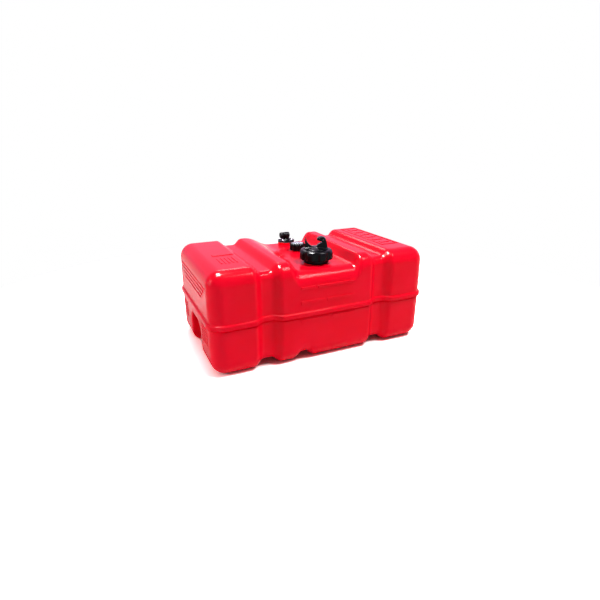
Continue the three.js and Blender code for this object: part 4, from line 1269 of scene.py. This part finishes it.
def make_lights():
    for name, (place, size, power, lights) in LAMPS.items():
        data = bpy.data.lights.new(name, "AREA")
        data.shape = "RECTANGLE"
        data.size, data.size_y = size
        data.energy = power
        lamp = bpy.data.objects.new(name, data)
        bpy.context.scene.collection.objects.link(lamp)
        lamp.location = place
        lamp.rotation_mode = "QUATERNION"
        lamp.rotation_quaternion = (LAMPS_AIM - Vector(place)).to_track_quat("-Z", "Y")
        lamp.visible_diffuse = lights


def ray_kinds(tree):
    """Whether a ray comes from the camera, and whether it comes off a shiny or clear surface."""
    path = add_node(tree, "LightPath").outputs
    mirrored = add_math(tree, "MAXIMUM", path["Is Glossy Ray"], path["Is Transmission Ray"])
    return path["Is Camera Ray"], mirrored


SKY_TONE = (0.95, 0.98, 1)
SKY_STRENGTH = 0.14
SHINE_TONE = (1.0, 0.64, 1.0)  # a pink backdrop, as the tank's top reflects it


def make_world():
    """White to the camera, and softer to everything else."""
    world = bpy.data.worlds.new("studio")
    world.use_nodes = True
    tree = world.node_tree
    tree.nodes.clear()
    from_camera, mirrored = ray_kinds(tree)
    lit, shine, seen = (
        add_node(tree, "Background", (*tone, 1), strength).outputs["Background"]
        for tone, strength in ((SKY_TONE, SKY_STRENGTH), (SHINE_TONE, 1.0), ((1, 1, 1), 1.0))
    )
    other = add_node(tree, "MixShader", mirrored, lit, shine).outputs["Shader"]
    mixed = add_node(tree, "MixShader", from_camera, other, seen).outputs["Shader"]
    add_node(tree, "OutputWorld", mixed)
    bpy.context.scene.world = world


FLOOR_SIZE = 60.0
FADE = (0.55, 1.2)  # between these distances from the object's middle the floor turns white
FLOOR_GAIN = 3.2  # how much brighter the camera sees the floor, as in a picture of an overlit backdrop
MIRRORED_GAIN = 1.1  # and how much brighter it is in a reflection
PAPER_TONES = (0.86, 0.86, 0.86), (0.85, 0.85, 0.85)
PAPER_FIBRES = 60.0
PAPER_ROUGHNESS = 0.9
PAINTED_SHADOW_EDGE = (2 * MM, 30 * MM)  # between these distances inside the tank's outline the gain falls away, which leaves a painted shadow on the floor under the tank


def fade_out(tree, shader, seen):
    """Far from the object, the floor turns into the plain white of the backdrop."""
    reach = add_vector(tree, "LENGTH", object_place(tree))
    share = add_math(tree, "MULTIPLY", add_range(tree, reach, 0.0, 1.0, *FADE), seen)
    white = add_node(tree, "Emission", (1, 1, 1, 1), 1.0).outputs["Emission"]
    mixed = add_node(tree, "MixShader", share, shader.outputs["BSDF"], white).outputs["Shader"]
    tree.links.new(mixed, tree.get_output_node("CYCLES").inputs["Surface"])


def outside_painted_shadow(tree):
    """0 on the floor under the object, where it is darkened as a painted shadow, and 1 beside it."""
    folded = add_vector(tree, "ABSOLUTE", object_place(tree))
    beyond = add_vector(tree, "SUBTRACT", folded, (LENGTH / 2, WIDTH / 2, 0))
    split = add_node(tree, "SeparateXYZ", beyond).outputs
    reach = add_math(tree, "MAXIMUM", split["X"], split["Y"])
    return add_range(tree, reach, 0.0, 1.0, -PAINTED_SHADOW_EDGE[1], -PAINTED_SHADOW_EDGE[0])


def make_floor():
    material, tree, shader = new_material("floor_paper")
    fibres = add_range(tree, add_noise(tree, PAPER_FIBRES, detail=4.0), 0, 1)
    from_camera, mirrored = ray_kinds(tree)
    # Under the tank the floor gets no gain, so the camera sees it darker there: a painted shadow under
    # the object.
    beside = add_math(tree, "MULTIPLY", from_camera, outside_painted_shadow(tree))
    seen = add_range(tree, beside, 1.0, FLOOR_GAIN, 0.0, 1.0)
    reflected = add_range(tree, mirrored, 1.0, MIRRORED_GAIN, 0.0, 1.0)
    brighter = add_node(tree, "VectorMath", add_mix(tree, fibres, *PAPER_TONES), operation="SCALE")
    tree.links.new(add_math(tree, "MAXIMUM", seen, reflected), brighter.inputs["Scale"])
    tree.links.new(brighter.outputs["Vector"], shader.inputs["Base Color"])
    shader.inputs["Roughness"].default_value = PAPER_ROUGHNESS
    shader.inputs["Specular IOR Level"].default_value = 0.0
    fade_out(tree, shader, add_math(tree, "MAXIMUM", from_camera, mirrored))
    mesh = bpy.data.meshes.new("floor")
    half = FLOOR_SIZE / 2
    corners = [(-half, -half, 0), (half, -half, 0), (half, half, 0), (-half, half, 0)]
    mesh.from_pydata(corners, [], [(0, 1, 2, 3)])
    mesh.materials.append(material)
    floor = bpy.data.objects.new("floor", mesh)
    bpy.context.scene.collection.objects.link(floor)


make_camera()
make_world()
make_lights()
make_floor()
dress_cad_nodes()
make_skin()
make_bosses()
end_marks()
front_marks()
top_marks()
make_cap()
make_gauge()
make_pickup()
bpy.context.scene.view_settings.view_transform = "Standard"
